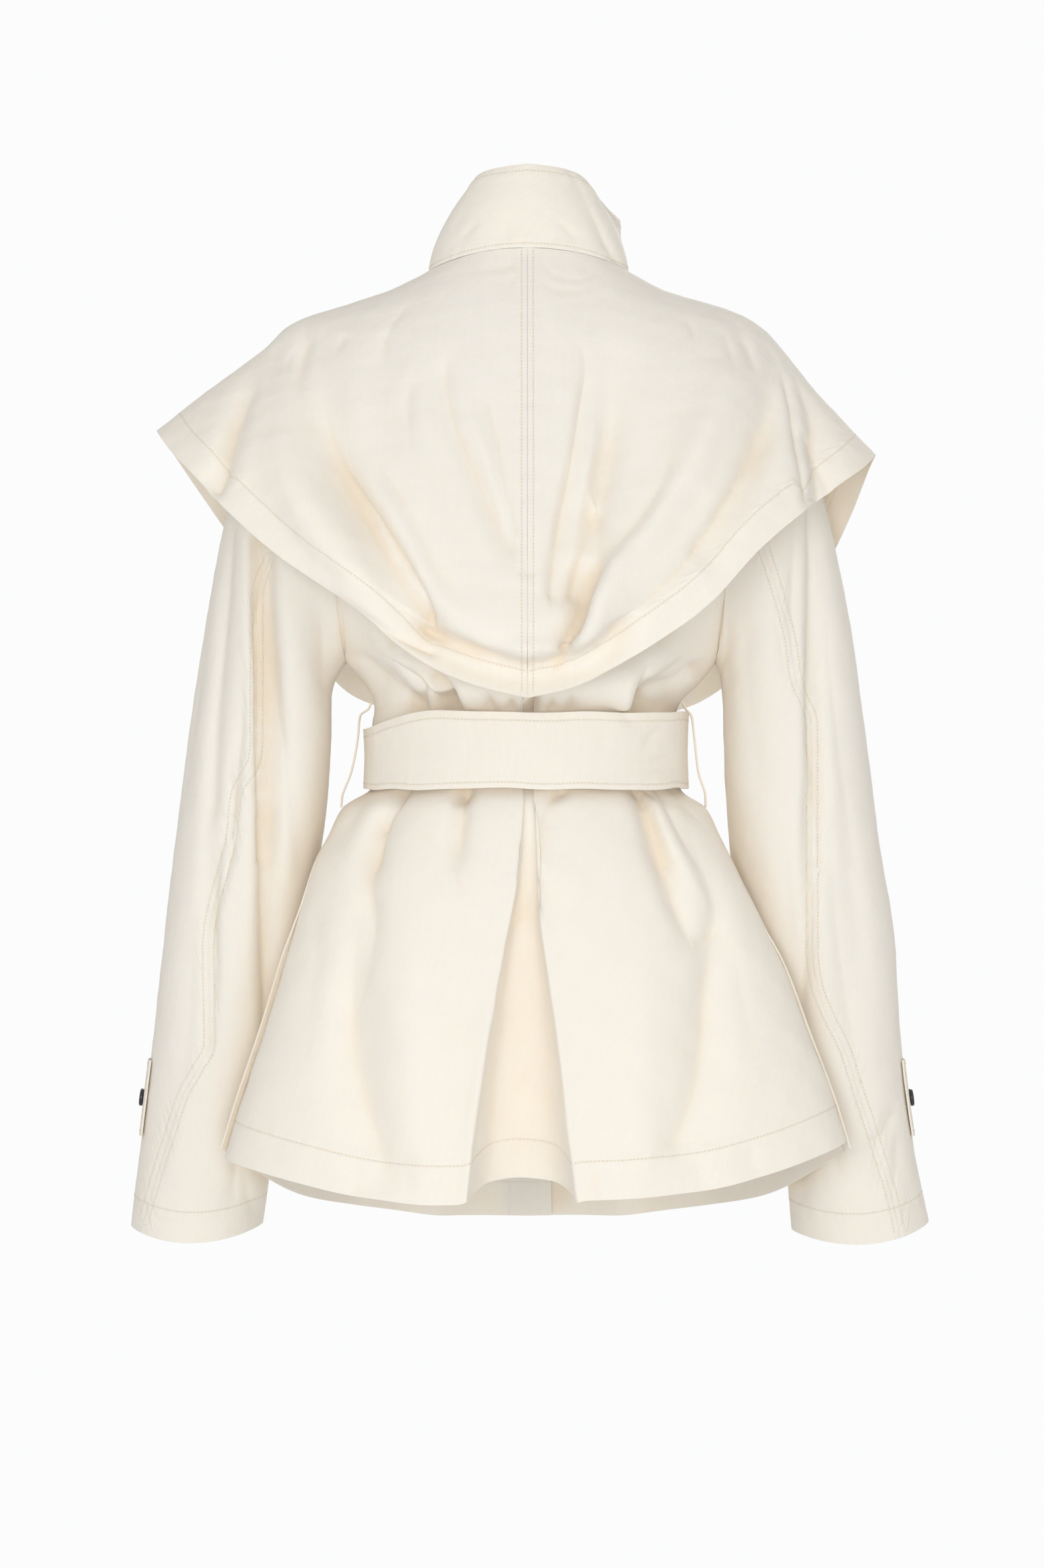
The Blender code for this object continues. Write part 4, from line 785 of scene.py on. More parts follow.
def body_above(face, out, rise):
    """The body from the underarm up to the shoulder seams and the neck."""
    out, rise = np.meshgrid(out, rise)
    lift = (1 - np.cos(np.pi * rise)) / 2
    underarm = np.where(out < 0, UNDERARM_X[-1], UNDERARM_X[1])
    half = underarm + (SHOULDER_X - underarm) * lift
    neck_x = by_side(out < 0, RIDGE, "x", 0) - NECK_INSET
    top_x = abs(out) * SHOULDER_X
    ring = round_from(top_x / neck_x)
    neck_z, middle_z = RIDGE[0].left_z - NECK_INSET, NECK_MIDDLE_Z[face]
    seam = read(SHOULDER_SEAM, "z", np.maximum(top_x, neck_x))
    top_z = np.where(top_x < neck_x, neck_z + (middle_z - neck_z) * ring**2, seam)
    top_y = np.maximum(NECK_DEPTH[face] * ring, 2 * SEAM_GAP)
    z = UNDERARM_Z + (top_z - UNDERARM_Z) * lift
    depth = read(TORSO, FACES[face], UNDERARM_Z + (middle_z - UNDERARM_Z) * lift)
    edge = ARMHOLE_HALF_DEPTH * np.sin(np.pi * rise)
    rounding = 0.5 + 0.5 * step(rise, 0, 0.25)
    bow = edge + (depth - edge) * np.clip(1 - out**2, 0, 1) ** rounding
    seam_share = rise**6
    y = face * ((1 - seam_share) * np.maximum(bow, 2 * SEAM_GAP) + seam_share * top_y)
    return np.stack([half * out, y, z], -1)


def body(face, out, levels, rises):
    points = np.concatenate([body_below(face, out, levels), body_above(face, out, rises)])
    x, y, z = np.moveaxis(points, -1, 0)
    ease = 1 - step(abs(out), 0.80, 1.0)
    points[..., 1] = y - face * relief(x, z, BODY_FOLDS[face]) * ease
    return points


def sleeve(side, around, along):
    """The sleeve: around is 0 on its outer side and a quarter turn behind, along runs to the cuff."""
    around, along = np.meshgrid(around, along)
    names = ("outer_x", "outer_z", "inner_x", "inner_z")
    outer_x, outer_z, inner_x, inner_z = (by_side(side < 0, SLEEVE, name, along) for name in names)
    centre_y, depth = (read(SLEEVE, name, along) for name in ("y", "depth"))
    cosine, sine = np.cos(around), np.sin(around)
    x = side * ((outer_x + inner_x) / 2 + (outer_x - inner_x) / 2 * cosine + ARMHOLE_GAP)
    z = (outer_z + inner_z) / 2 + (outer_z - inner_z) / 2 * cosine - CUFF_SAG * along**8 * sine**2
    behind = relief(x, z, SLEEVE_BACK_FOLDS) * step(sine, 0.1, 0.7)
    before = relief(x, z, SLEEVE_FRONT_FOLDS) * step(-sine, 0.1, 0.7)
    ease = step(along, 0.0, 0.2) * (1 - step(along, 0.85, 1.0))
    return np.stack([x, centre_y - depth * sine + (behind - before) * ease, z], -1)


def belt(turns, share_up):
    """The belt's ring: it starts in front, goes once round and ends over its own start."""
    turns, share_up = np.meshgrid(turns, share_up)
    angle = np.radians(turns)
    over = LAP_BELT * step(turns, 312, 360 - BELT_OVERLAP / 2 - 6)
    half = np.where(np.sin(angle) > 0, BELT_HALF[-1], BELT_HALF[1]) + over
    x = -half * np.sin(angle)
    y = (BELT_DEPTH + over) * np.cos(angle)
    return np.stack([x, y, BELT_BOTTOM + (BELT_TOP - BELT_BOTTOM) * share_up], -1)


# Cloth
def normals(points, wrap):
    """The direction straight off a grid of points; wrap joins its last column to its first."""
    across = np.roll(points, -1, 1) - np.roll(points, 1, 1) if wrap else np.gradient(points, axis=1)
    normal = np.cross(across, np.gradient(points, axis=0))
    return normal / np.linalg.norm(normal, axis=-1, keepdims=True)


def cells(rows, columns, wrap):
    """The corner numbers of each cell of a grid."""
    i, j = np.meshgrid(np.arange(rows - 1), np.arange(columns if wrap else columns - 1), indexing="ij")
    i, k = i * columns, (j + 1) % columns
    return np.stack([i + j, i + k, i + columns + k, i + columns + j], -1).reshape(-1, 4)


def arc(points, axis):
    """The distance along the grid from its first row or column, in metres."""
    legs = np.linalg.norm(np.diff(points, axis=axis), axis=-1)
    start = np.zeros_like(np.take(legs, [0], axis))
    return np.concatenate([start, np.cumsum(legs, axis)], axis)


def from_edge(points, edge):
    """How far each point lies from one edge of its grid, along the cloth."""
    axis = EDGE_AXIS[edge]
    gone = arc(points, axis)
    return np.take(gone, [-1], axis) - gone if edge in ("last", "right") else gone


def outward_of(points, wrap=False):
    """The grid's normals turned away from the middle of the form they go round."""
    off = normals(points, wrap)
    centre = points.mean(1, keepdims=True) if wrap else np.zeros(3)
    away = (points - centre) * (1, 1, 0)
    return off if (off * away).sum() > 0 else -off


def seen(path, plane):
    """Places in the picture, in its pixels, as (x, z) in metres on an upright plane at this y."""
    right, down = np.array(path, float).T
    pixel = VIEW_HEIGHT / PICTURE[1] * (CAMERA_DISTANCE + plane) / CAMERA_DISTANCE
    x = CAMERA_X + (right - PICTURE[0] / 2) * pixel
    z = CAMERA_Z - (down - PICTURE[1] / 2) * pixel
    return np.stack([x, z], -1)


def creased(points, outward, creases, plane, before=False, strength=1.0, held=None, eased=None):
    """The cloth pressed in along the creases where it faces the viewer, or in front along them mirrored."""
    x = 2 * CAMERA_X - points[..., 0] if before else points[..., 0]
    z = points[..., 2]
    facing = step(outward[..., 1] if before else -outward[..., 1], *FACING)
    press = np.zeros(x.shape)
    for crease in creases:
        path = fine_path(seen(crease.path, plane))
        reach = 3 * MM * max(crease.width) * (1 + abs(crease.lean))
        (left, low), (right, high) = path.min(0) - reach, path.max(0) + reach
        near = (facing > 0) & (x > left) & (x < right) & (z > low) & (z < high)
        if not near.any():
            continue
        share, aside = nearest_on(path, x[near], z[near])
        width = crease.width[0] + (crease.width[1] - crease.width[0]) * share
        width = MM * width * np.where(aside < 0, 1 + crease.lean, 1 - crease.lean)
        deep = MM * smooth(share, (0, 0.5, 1), crease.depth)
        if eased:
            deep = deep * step(share, 0, eased)
        press[near] += deep * np.exp(-(abs(aside) / width) ** CREASE_SHARPNESS)
    if held is not None:
        press = np.where(press < 0, press * (1 - held), press)
    return points - outward * (press * facing * strength)[..., None]


def rippled(points, outward, piece):
    """Small uneven wrinkles worked into the cloth, sums of soft waves that never repeat."""
    for seed, size, height in RIPPLES[piece]:
        chance = np.random.default_rng(seed)
        total = np.zeros(points.shape[:2])
        for _ in range(RIPPLE_WAVES):
            way = chance.normal(size=3)
            way *= 2 * np.pi / (size * chance.uniform(0.6, 1.9) * np.linalg.norm(way))
            total += np.sin(points @ way + chance.uniform(0, 2 * np.pi)) * chance.uniform(0.3, 1.0)
        points = points + outward * (total / RIPPLE_WAVES * height)[..., None]
    return points


def evened(points, wrap=False):
    """The grid with the steps between its cells evened out, its edges left where they are."""
    out = points
    for _ in range(2):
        rows = out.copy()
        rows[1:-1] = (out[:-2] + 2 * out[1:-1] + out[2:]) / 4
        if wrap:
            out = (np.roll(rows, 1, 1) + 2 * rows + np.roll(rows, -1, 1)) / 4
        else:
            out = rows.copy()
            out[:, 1:-1] = (rows[:, :-2] + 2 * rows[:, 1:-1] + rows[:, 2:]) / 4
    return out


def link(name, data):
    made = bpy.data.objects.new(name, data)
    bpy.context.scene.collection.objects.link(made)
    return made


def piece(name, vertices, faces, paint, kind, node=None):
    """A mesh in the scene, of one material; one that stands for a CAD node is closed and turned out."""
    mesh = bpy.data.meshes.new(name)
    mesh.from_pydata(vertices, [], faces)
    mesh.update()
    mesh.shade_smooth()
    mesh.materials.append(PAINTS[paint])
    made = link(name, mesh)
    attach(made, "root")
    if node:
        mesh.set_sharp_from_angle(angle=np.radians(60))
        mesh.calc_loop_triangles()
        corners = np.zeros(len(mesh.loop_triangles) * 3, np.int32)
        mesh.loop_triangles.foreach_get("vertices", corners)
        a, b, c = np.array(vertices)[corners.reshape(-1, 3)].transpose(1, 0, 2)
        if (a * np.cross(b, c)).sum() < 0:
            mesh.flip_normals()
        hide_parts(node)
    return made


def mark(mesh, name, values):
    layer = mesh.attributes.new(name, "FLOAT", "POINT")
    layer.data.foreach_set("value", np.asarray(values, np.float32).ravel())


def cloth(name, node, points, outward, wrap=False, wall=CLOTH, band=None, stitched=(), seam=None):
    """A thin closed wall about a grid of points, standing for a CAD node, its weave laid out in metres.

    The stitched lines are pairs of an edge and a distance from it, and the band is one of them.
    The seam is how far right of one each point lies.
    """
    rows, columns = points.shape[:2]
    normal = normals(points, wrap)
    if (normal * outward).sum() < 0:
        normal = -normal
    offset = normal * wall / 2
    count = rows * columns
    index = np.arange(count).reshape(rows, columns)
    round_about = [index[0], index[:, -1], index[-1][::-1], index[::-1, 0]]
    rings = [np.append(edge, edge[0]) for edge in round_about[::2]] if wrap else round_about
    rim = [np.stack([ring[1:], ring[:-1], ring[:-1] + count, ring[1:] + count], -1) for ring in rings]
    front = cells(rows, columns, wrap)
    faces = np.concatenate([front, front[:, ::-1] + count, *rim])
    vertices = np.concatenate([points + offset, points - offset]).reshape(-1, 3)
    made = piece(name, vertices.tolist(), faces.tolist(), "cloth", "cloth", node)
    flat = np.stack([arc(points, 1), arc(points, 0)], -1).reshape(-1, 2)
    layer = made.data.uv_layers.new(name="weave")
    corner = np.zeros(len(made.data.loops), np.int32)
    made.data.loops.foreach_get("vertex_index", corner)
    layer.data.foreach_set("uv", flat[corner % count].astype(np.float32).ravel())
    gaps = np.full((3, rows, columns), FAR)
    for edge, distance in stitched:
        axis = EDGE_AXIS[edge]
        gaps[axis] = np.minimum(gaps[axis], from_edge(points, edge) - distance)
    if seam is not None:
        gaps[2] = seam
    gaps[1] = np.minimum(gaps[1], abs(gaps[2]) - SEAM_STEP)
    doubled = np.zeros((rows, columns))
    if band:
        doubled = 1 - step(from_edge(points, band[0]), band[1] - BAND_EDGE, band[1] + BAND_EDGE)
    for word, values in zip(("across", "down", "seam", "doubled"), (*gaps, doubled)):
        mark(made.data, word, [values, values])
    GRIDS.append((made, points, normal, wrap))
    return made


# How shut in the cloth lies, which sets the painted shade in its folds
def blurred(grid, wrap, reach):
    """The grid's points evened out over some cells each way."""
    kernel = np.hanning(2 * reach + 3)[1:-1]
    kernel /= kernel.sum()
    out = grid
    for axis in (0, 1):
        if axis == 1 and wrap:
            pad = np.concatenate([out[:, -reach:], out, out[:, :reach]], 1)
        else:
            first, last = np.take(out, [0], axis), np.take(out, [-1], axis)
            count = np.arange(1, reach + 1).reshape([-1 if a == axis else 1 for a in range(3)])
            before = first + (first - np.take(out, [1], axis)) * np.flip(count, axis)
            after = last + (last - np.take(out, [-2], axis)) * count
            pad = np.concatenate([before, out, after], axis)
        out = sum(k * np.take(pad, range(i, i + out.shape[axis]), axis) for i, k in enumerate(kernel))
    return out


def sunk_in(points, normal, wrap):
    """How far each point lies below the cloth round about, along its normal, in shares of HOLLOW_DEPTH."""
    size = np.median(np.linalg.norm(np.diff(points, axis=0), axis=-1))
    reach = int(np.clip(round(HOLLOW_REACH / size), 2, 10))
    return ((blurred(points, wrap, reach) - points) * normal).sum(-1) / HOLLOW_DEPTH


def thinned(count):
    """Every few rows or columns of a grid, with its last one."""
    return np.unique(np.append(np.arange(0, count, SHADE_STEP), count - 1))


def spread_out(values, picked, count, axis, wrap):
    """Values at the picked rows or columns read at all of them."""
    if wrap:
        picked = np.append(picked, count)
        values = np.concatenate([values, np.take(values, [0], axis)], axis)
    values = np.moveaxis(values, axis, 0)
    at = np.arange(count)
    cell = np.clip(np.searchsorted(picked, at, side="right") - 1, 0, len(picked) - 2)
    share = ((at - picked[cell]) / (picked[cell + 1] - picked[cell]))[:, None]
    return np.moveaxis(values[cell] * (1 - share) + values[cell + 1] * share, 0, axis)


def shade_folds():
    """Marks how shut in each face of the cloth lies, the share of its short rays that meet cloth, and how far
    it lies sunk in small hollows; the cloth's material paints shade from both.
    """
    corners, faces, thin = [], [], []
    start = 0
    for _, points, normal, wrap in GRIDS:
        rows, columns = (thinned(count) for count in points.shape[:2])
        grid = points[np.ix_(rows, columns)]
        thin.append((rows, columns, grid, normal[np.ix_(rows, columns)]))
        corners.append(grid.reshape(-1, 3))
        faces.append(cells(len(rows), len(columns), wrap) + start)
        start += grid.shape[0] * grid.shape[1]
    tree = BVHTree.FromPolygons(np.concatenate(corners).tolist(), np.concatenate(faces).tolist())
    count = np.arange(SHADE_RAYS) + 0.5
    height = np.sqrt(1 - count / SHADE_RAYS)
    turn = count * np.pi * (3 - np.sqrt(5))
    flat = np.sqrt(1 - height**2)
    fan = np.stack([np.cos(turn) * flat, np.sin(turn) * flat, height], -1)
    for (made, points, fine, wrap), (rows, columns, grid, normal) in zip(GRIDS, thin):
        sunk = sunk_in(points, fine, wrap)
        shades = []
        for way in (1, -1):
            up = (way * normal).reshape(-1, 3)
            side = np.cross(up, (0.31, 0.22, 0.92))
            side /= np.linalg.norm(side, axis=1, keepdims=True)
            other = np.cross(up, side)
            begin = (grid.reshape(-1, 3) + up * SHADE_LIFT).tolist()
            shut = np.zeros(len(begin))
            for across, along, off in fan:
                rays = (side * across + other * along + up * off).tolist()
                hits = [tree.ray_cast(a, b, SHADE_REACH)[3] for a, b in zip(begin, rays)]
                shut += [0.0 if hit is None else 1 - hit / SHADE_REACH for hit in hits]
            shut = blurred((shut / SHADE_RAYS).reshape(*grid.shape[:2], 1), wrap, 1)[..., 0]
            shut = spread_out(shut, rows, points.shape[0], 0, False)
            shades.append(spread_out(shut, columns, points.shape[1], 1, wrap))
        mark(made.data, "shut", shades)
        mark(made.data, "sunk", [np.clip(way * sunk, 0, 1) for way in (1, -1)])


# Materials
def linear(red, green, blue):
    """A screen colour, 0 to 255, as the light it stands for."""
    share = np.array([red, green, blue]) / 255
    return np.where(share <= 0.04045, share / 12.92, ((share + 0.055) / 1.055) ** 2.4)


class Nodes:
    """A short way to lay out a material's nodes."""

    def __init__(self, name):
        self.made = bpy.data.materials.new(name)
        self.made.use_nodes = True
        self.tree = self.made.node_tree
        self.shader = self.tree.nodes["Principled BSDF"]

    def add(self, kind, inputs=None, **settings):
        node = self.tree.nodes.new("ShaderNode" + kind)
        for name, value in settings.items():
            setattr(node, name, value)
        for name, value in (inputs or {}).items():
            self.give(node.inputs[name], value)
        return node

    def give(self, socket, value):
        if isinstance(value, bpy.types.NodeSocket):
            self.tree.links.new(value, socket)
        elif socket.type == "RGBA":
            socket.default_value = (*value, 1)
        else:
            socket.default_value = value

    def math(self, operation, *values):
        node = self.add("Math", operation=operation)
        for socket, value in zip(node.inputs, values):
            self.give(socket, value)
        return node.outputs[0]

    def times(self, first, second):
        return self.math("MULTIPLY", first, second)

    def about(self, value, factor, start):
        """The value times the factor, added to the start."""
        return self.math("MULTIPLY_ADD", value, factor, start)

    def mix(self, share, first, second, kind="RGBA", **settings):
        node = self.add("Mix", data_type=kind, **settings)
        before, after, result = {"FLOAT": (2, 3, 0), "RGBA": (6, 7, 2)}[kind]
        for place, value in ((0, share), (before, first), (after, second)):
            self.give(node.inputs[place], value)
        return node.outputs[result]

    def noise(self, place, scale, detail=2.0, roughness=0.5):
        scale = scale if isinstance(scale, tuple) else (scale, scale, scale)
        stretched = self.add("Mapping", {"Vector": place, "Scale": scale}).outputs[0]
        inputs = {"Vector": stretched, "Scale": 1.0, "Detail": detail, "Roughness": roughness}
        return self.add("TexNoise", inputs).outputs["Fac"]

    def inside(self):
        """The place in the object's own metres."""
        return self.add("TexCoord").outputs["Object"]

    def marked(self, name):
        return self.add("Attribute", attribute_name=name).outputs["Fac"]

    def fade(self, value, start, end, first=1.0, last=0.0):
        """From the first value at the start to the last one at the end, eased."""
        inputs = {"Value": value, "From Min": start, "From Max": end, "To Min": first, "To Max": last}
        return self.add("MapRange", inputs, interpolation_type="SMOOTHSTEP").outputs[0]

    def bump(self, strength, distance, height, below=None, **settings):
        inputs = {"Strength": strength, "Distance": distance, "Height": height}
        if below is not None:
            inputs["Normal"] = below
        return self.add("Bump", inputs, **settings).outputs[0]

    def set(self, **values):
        for name, value in values.items():
            self.give(self.shader.inputs[name.replace("_", " ")], value)
        return self.made


def woven(light, deep, doubled):
    """Fine poplin: plain weave and slubs in its own metres, crumple, puckers and a groove at stitches, with
    painted shade in its folds, its small hollows and the grooves.
    """
    at = Nodes("poplin")
    uv = at.add("UVMap", uv_map="weave").outputs[0]
    ways = at.add("SeparateXYZ", {"Vector": uv}).outputs[:2]
    warp, weft = (at.math("ABSOLUTE", at.math("SINE", at.times(way, np.pi / THREAD))) for way in ways)
    scaled = at.add("Mapping", {"Vector": uv, "Scale": (1 / THREAD, 1 / THREAD, 1)}).outputs[0]
    over = at.add("TexChecker", {"Vector": scaled, "Scale": 1.0}).outputs["Fac"]
    weave = at.mix(over, warp, weft, "FLOAT")
    slubs = at.times(at.math("ADD", at.noise(uv, (2600, 34, 1)), at.noise(uv, (30, 2200, 1))), 0.5)
    streaks = at.noise(uv, (260, 7, 1), 3.0)
    place = at.inside()
    cloud, soft, crumple = at.noise(place, 7, 3.0), at.noise(place, 34, 3.0), at.noise(place, 95, 4.0, 0.55)
    hem, seam, middle = (at.math("ABSOLUTE", at.marked(name)) for name in ("across", "down", "seam"))
    groove = at.math("MAXIMUM", at.fade(hem, *GROOVE), at.fade(seam, *GROOVE))
    groove = at.math("MAXIMUM", groove, at.fade(middle, *SEAM_GROOVE))
    hem_pucker = at.times(at.fade(hem, *PUCKER), at.noise(uv, (120, 22, 1)))
    seam_pucker = at.times(at.fade(seam, *PUCKER), at.noise(uv, (22, 120, 1)))
    tint = at.mix(at.times(cloud, 0.5), light, light * CLOUD_TINT)
    tint = at.mix(at.times(at.marked("doubled"), 0.6), tint, doubled)
    # Painted shade: the deep colour mixed in where the cloth lies shut in by other cloth, and more in small
    # hollows
    shut = at.fade(at.marked("shut"), SHADE_FROM, SHADE_TO, 0.0, SHUT_SHADE_SHARE)
    tint = at.mix(at.math("MINIMUM", at.about(at.marked("sunk"), SUNK_SHADE_SHARE, shut), 1.0), tint, deep)
    # Painted shade in the groove beside each stitch line
    tint = at.mix(at.times(groove, GROOVE_SHADE_SHARE), tint, deep)
    shade = at.times(at.about(slubs, 0.08, 0.96), at.about(weave, 0.035, 0.975))
    shade = at.times(shade, at.about(streaks, 0.03, 0.985))
    grey = at.add("CombineColor", {"Red": shade, "Green": shade, "Blue": shade}).outputs[0]
    color = at.mix(1.0, tint, grey, blend_type="MULTIPLY")
    fine = at.bump(0.35, 0.00012, at.about(slubs, 0.6, at.times(weave, 0.5)))
    folded = at.about(crumple, 0.30, at.about(at.math("ADD", hem_pucker, seam_pucker), 0.8, soft))
    broad = at.bump(1.0, 0.0013, folded, fine)
    sunk = at.bump(0.7, 0.0003, groove, broad, invert=True)
    at.set(Sheen_Weight=0.15, Sheen_Roughness=0.4, Specular_IOR_Level=0.35)
    at.set(Subsurface_Weight=0.30, Subsurface_Radius=(1.0, 0.70, 0.42), Subsurface_Scale=0.003)
    return at.set(Base_Color=color, Roughness=at.about(slubs, 0.10, 0.70), Normal=sunk)


def spun(color):
    """Sewing thread: a fine twist with a slight gloss."""
    at = Nodes("thread")
    twist = at.noise(at.inside(), 2600, 1.0)
    tint = at.mix(twist, color, color * 0.86)
    return at.set(Base_Color=tint, Roughness=0.55, Normal=at.bump(0.4, 0.0001, twist), Sheen_Weight=0.1)


def horn():
    """Dark polished horn with faint cloudy streaks."""
    at = Nodes("horn")
    streak = at.noise(at.inside(), (500, 160, 160), 5.0)
    at.set(Coat_Weight=0.35, Coat_Roughness=0.12, Normal=at.bump(0.1, 0.0001, streak))
    tint = at.mix(streak, (0.006, 0.008, 0.014), (0.045, 0.045, 0.055))
    return at.set(Base_Color=tint, Roughness=at.about(streak, 0.22, 0.20))


def studio_white():
    """Plain white paper with the faintest grain, evenly lit."""
    at = Nodes("studio_white")
    glow = at.mix(at.noise(at.inside(), 3), STUDIO_WHITE, np.array(STUDIO_WHITE) * 0.998)
    at.set(Base_Color=(0, 0, 0), Roughness=1.0, Specular_IOR_Level=0.0)
    return at.set(Emission_Color=glow, Emission_Strength=1.0)


# Sewing
def at_distance(points, distance, edge, outward, wrap=False):
    """A line on the grid at one distance from an edge: its points, and the way off the cloth there."""
    grids = [points, outward]
    if EDGE_AXIS[edge]:
        grids = [grid.transpose(1, 0, 2) for grid in grids]
    if edge in ("last", "right"):
        grids = [grid[::-1] for grid in grids]
    gone = arc(grids[0], 0)
    columns = [*range(gone.shape[1]), 0] if wrap else range(gone.shape[1])
    on = lambda values, j: [np.interp(distance, gone[:, j], values[:, j, a]) for a in range(3)]
    return np.array([[on(grid, j) for j in columns] for grid in grids])


def measured(line):
    """The distance of each point along its line."""
    return np.concatenate([[0], np.cumsum(np.linalg.norm(np.diff(line, axis=0), axis=1))])


def along(at, gone, values):
    """What a line's points hold, read at some distances along it."""
    return np.stack([np.interp(at, gone, part) for part in values.T], -1)


def on_cloth(points, path, wrap):
    """A path of (x, z) laid on the cloth that faces the viewer: its points and the way off the cloth."""
    faces = cells(*points.shape[:2], wrap)
    tree = BVHTree.FromPolygons(points.reshape(-1, 3).tolist(), faces.tolist())
    gone = measured(path)
    line, up = [], []
    for x, z in along(np.arange(0, gone[-1], PATH_STEP), gone, path):
        place, off = tree.ray_cast((x, -1, z), (0, 1, 0))[:2]
        if place is not None:
            line.append(place)
            up.append(-off if off[1] > 0 else off)
    return np.array(line), np.array(up)


def beside(path, distance):
    """A path moved sideways in its own plane."""
    way = np.gradient(path, axis=0)
    way /= np.linalg.norm(way, axis=1, keepdims=True)
    return path + distance * np.stack([-way[:, 1], way[:, 0]], -1)


def stitches(name, lines, lift):
    """Rows of stitches along lines on the cloth, each a short round thread pressed in at its ends."""
    ring = np.array([[0, 1], [1, 0], [0, -1], [-1, 0]]) * STITCH_HALF
    form = [(far, a, b + STITCH_HALF * 0.4) for far in (-0.32, 0.32) for a, b in ring]
    form = np.array(form + [(far, 0, -STITCH_HALF) for far in (-0.5, 0.5)])[:, :, None]
    sides = []
    for a, b in ((0, 1), (1, 2), (2, 3), (3, 0)):
        sides += [(a, b, 4 + b, 4 + a), (b, a, 8), (4 + a, 4 + b, 9)]
    vertices, faces = [], []
    for line, up in lines:
        gone = measured(line)
        at = np.arange(STITCH, gone[-1] - STITCH, STITCH)
        if len(at) < 2:
            continue
        spot, off = along(at, gone, line), along(at, gone, up)
        off /= np.linalg.norm(off, axis=1, keepdims=True)
        way = along(at + STITCH / 4, gone, line) - spot
        way /= np.linalg.norm(way, axis=1, keepdims=True)
        parts = spot + off * lift, way, np.cross(way, off), off
        base, way, across, off = (part[:, None] for part in parts)
        corners = base + way * STITCH_LENGTH * form[:, 0] + across * form[:, 1] + off * form[:, 2]
        for stitch in corners.tolist():
            faces += [[len(vertices) + corner for corner in side] for side in sides]
            vertices += stitch
    return piece(name, vertices, faces, "thread", "cloth")


def sewn(name, points, outward, edges, node=None, wall=CLOTH, wrap=False, banded=True, lines=(), **rest):
    """A piece of cloth and the stitches at some distances from its edges; the first may end a hem."""
    band = edges[0] if banded else None
    made = cloth(name + "_cloth", node or name, points, outward, wrap, wall, band, edges, **rest)
    rows = [at_distance(points, distance, edge, outward, wrap) for edge, distance in edges if distance > 0]
    return made, stitches(name + "_stitches", rows + list(lines), wall / 2)


# The pieces
def off_middle(points, outward):
    """The way off the cloth, kept straight back at the middle seam so that both halves stay joined."""
    sideways = step(abs(points[..., 0]), 0.0, 0.02)
    return outward * np.stack([sideways, np.ones_like(sideways), np.ones_like(sideways)], -1)


def cape_cloth(word, side):
    behind, before, above, band = CAPE_GRID
    around = np.concatenate([np.linspace(0, 0.5, behind), np.linspace(0.5, 1, before)[1:]])
    above = (1 - HEM_BAND) * np.linspace(0, 1, above)
    band = 1 - HEM_BAND * np.linspace(1, 0, band)[1:]
    points = evened(cape(side, around, np.concatenate([above, band])))
    out = outward_of(points)
    points = creased(points, off_middle(points, out), CAPE_CREASES, CAPE_PLANE, eased=CAPE_EASE)
    in_front = dict(before=True, strength=CAPE_BEFORE, eased=CAPE_EASE)
    points = creased(points, out, CAPE_CREASES, CAPE_PLANE, **in_front)
    out = outward_of(evened(points))
    points = rippled(points, off_middle(points, out), "cape")
    edges = (("last", CAPE_HEM_STITCH), ("left", 0.0), ("left", SEAM_STEP), ("right", CAPE_HEM_STITCH))
    return sewn("cape_" + word, points, out, edges)


def collar_cloth():
    points = collar(np.linspace(-1, 1, COLLAR_GRID[0]), np.linspace(0, 1, COLLAR_GRID[1]))
    points = creased(points, outward_of(points), COLLAR_CREASES, COLLAR_PLANE)
    out = outward_of(points)
    distances = (COLLAR_STITCH, COLLAR_BASE_STITCH, COLLAR_STITCH, COLLAR_STITCH)
    edges = tuple(zip(("last", "first", "left", "right"), distances))
    return sewn("collar", rippled(points, out, "collar"), out, edges, banded=False)


def pleated(flat):
    """The back resampled outwards from its pleat, with the pleat's own columns between."""
    z = flat[:, flat.shape[1] // 2, 2]
    middle_y = flat[:, flat.shape[1] // 2, 1]
    left, right, depth = (read(PLEAT, name, z) for name in ("left", "right", "depth"))
    aside = crowded(np.linspace(0, 1, PLEAT_GRID[0]))[1:]
    inside = np.linspace(0, 1, PLEAT_GRID[1])
    over, sunk = (read(PLEAT_SECTION, name, inside) for name in ("across", "sunk"))
    below = step(-z, -BELT_BOTTOM, BACK_LENGTH)
    rows = []
    for i, (x, y, height) in enumerate(np.moveaxis(flat, -1, 1)):
        west = left[i] + (x[0] - left[i]) * aside[::-1]
        east = right[i] + (x[-1] - right[i]) * aside
        lifted = z[i] + PLEAT_RISE * below[i] * sunk
        middle = [left[i] + (right[i] - left[i]) * over, middle_y[i] + depth[i] * sunk, lifted]
        west, east = ([part, np.interp(part, x, y), np.interp(part, x, height)] for part in (west, east))
        rows.append(np.concatenate([west, middle, east], 1).T)
    return np.array(rows)


def by_belt(points):
    """1 where the belt holds the cloth in, so that nothing stands out there."""
    z = points[..., 2]
    return step(z, BELT_BOTTOM - 0.010, BELT_BOTTOM) * (1 - step(z, BELT_TOP, BELT_TOP + 0.008))


def heights(below, above, gap):
    """The body's heights up to the underarm, so many below the belt's lower edge and so many above it."""
    skirt = np.linspace(-BACK_LENGTH, BELT_BOTTOM - 0.0006, below)
    return np.concatenate([skirt, np.linspace(BELT_BOTTOM + 0.002, UNDERARM_Z - gap, above)])


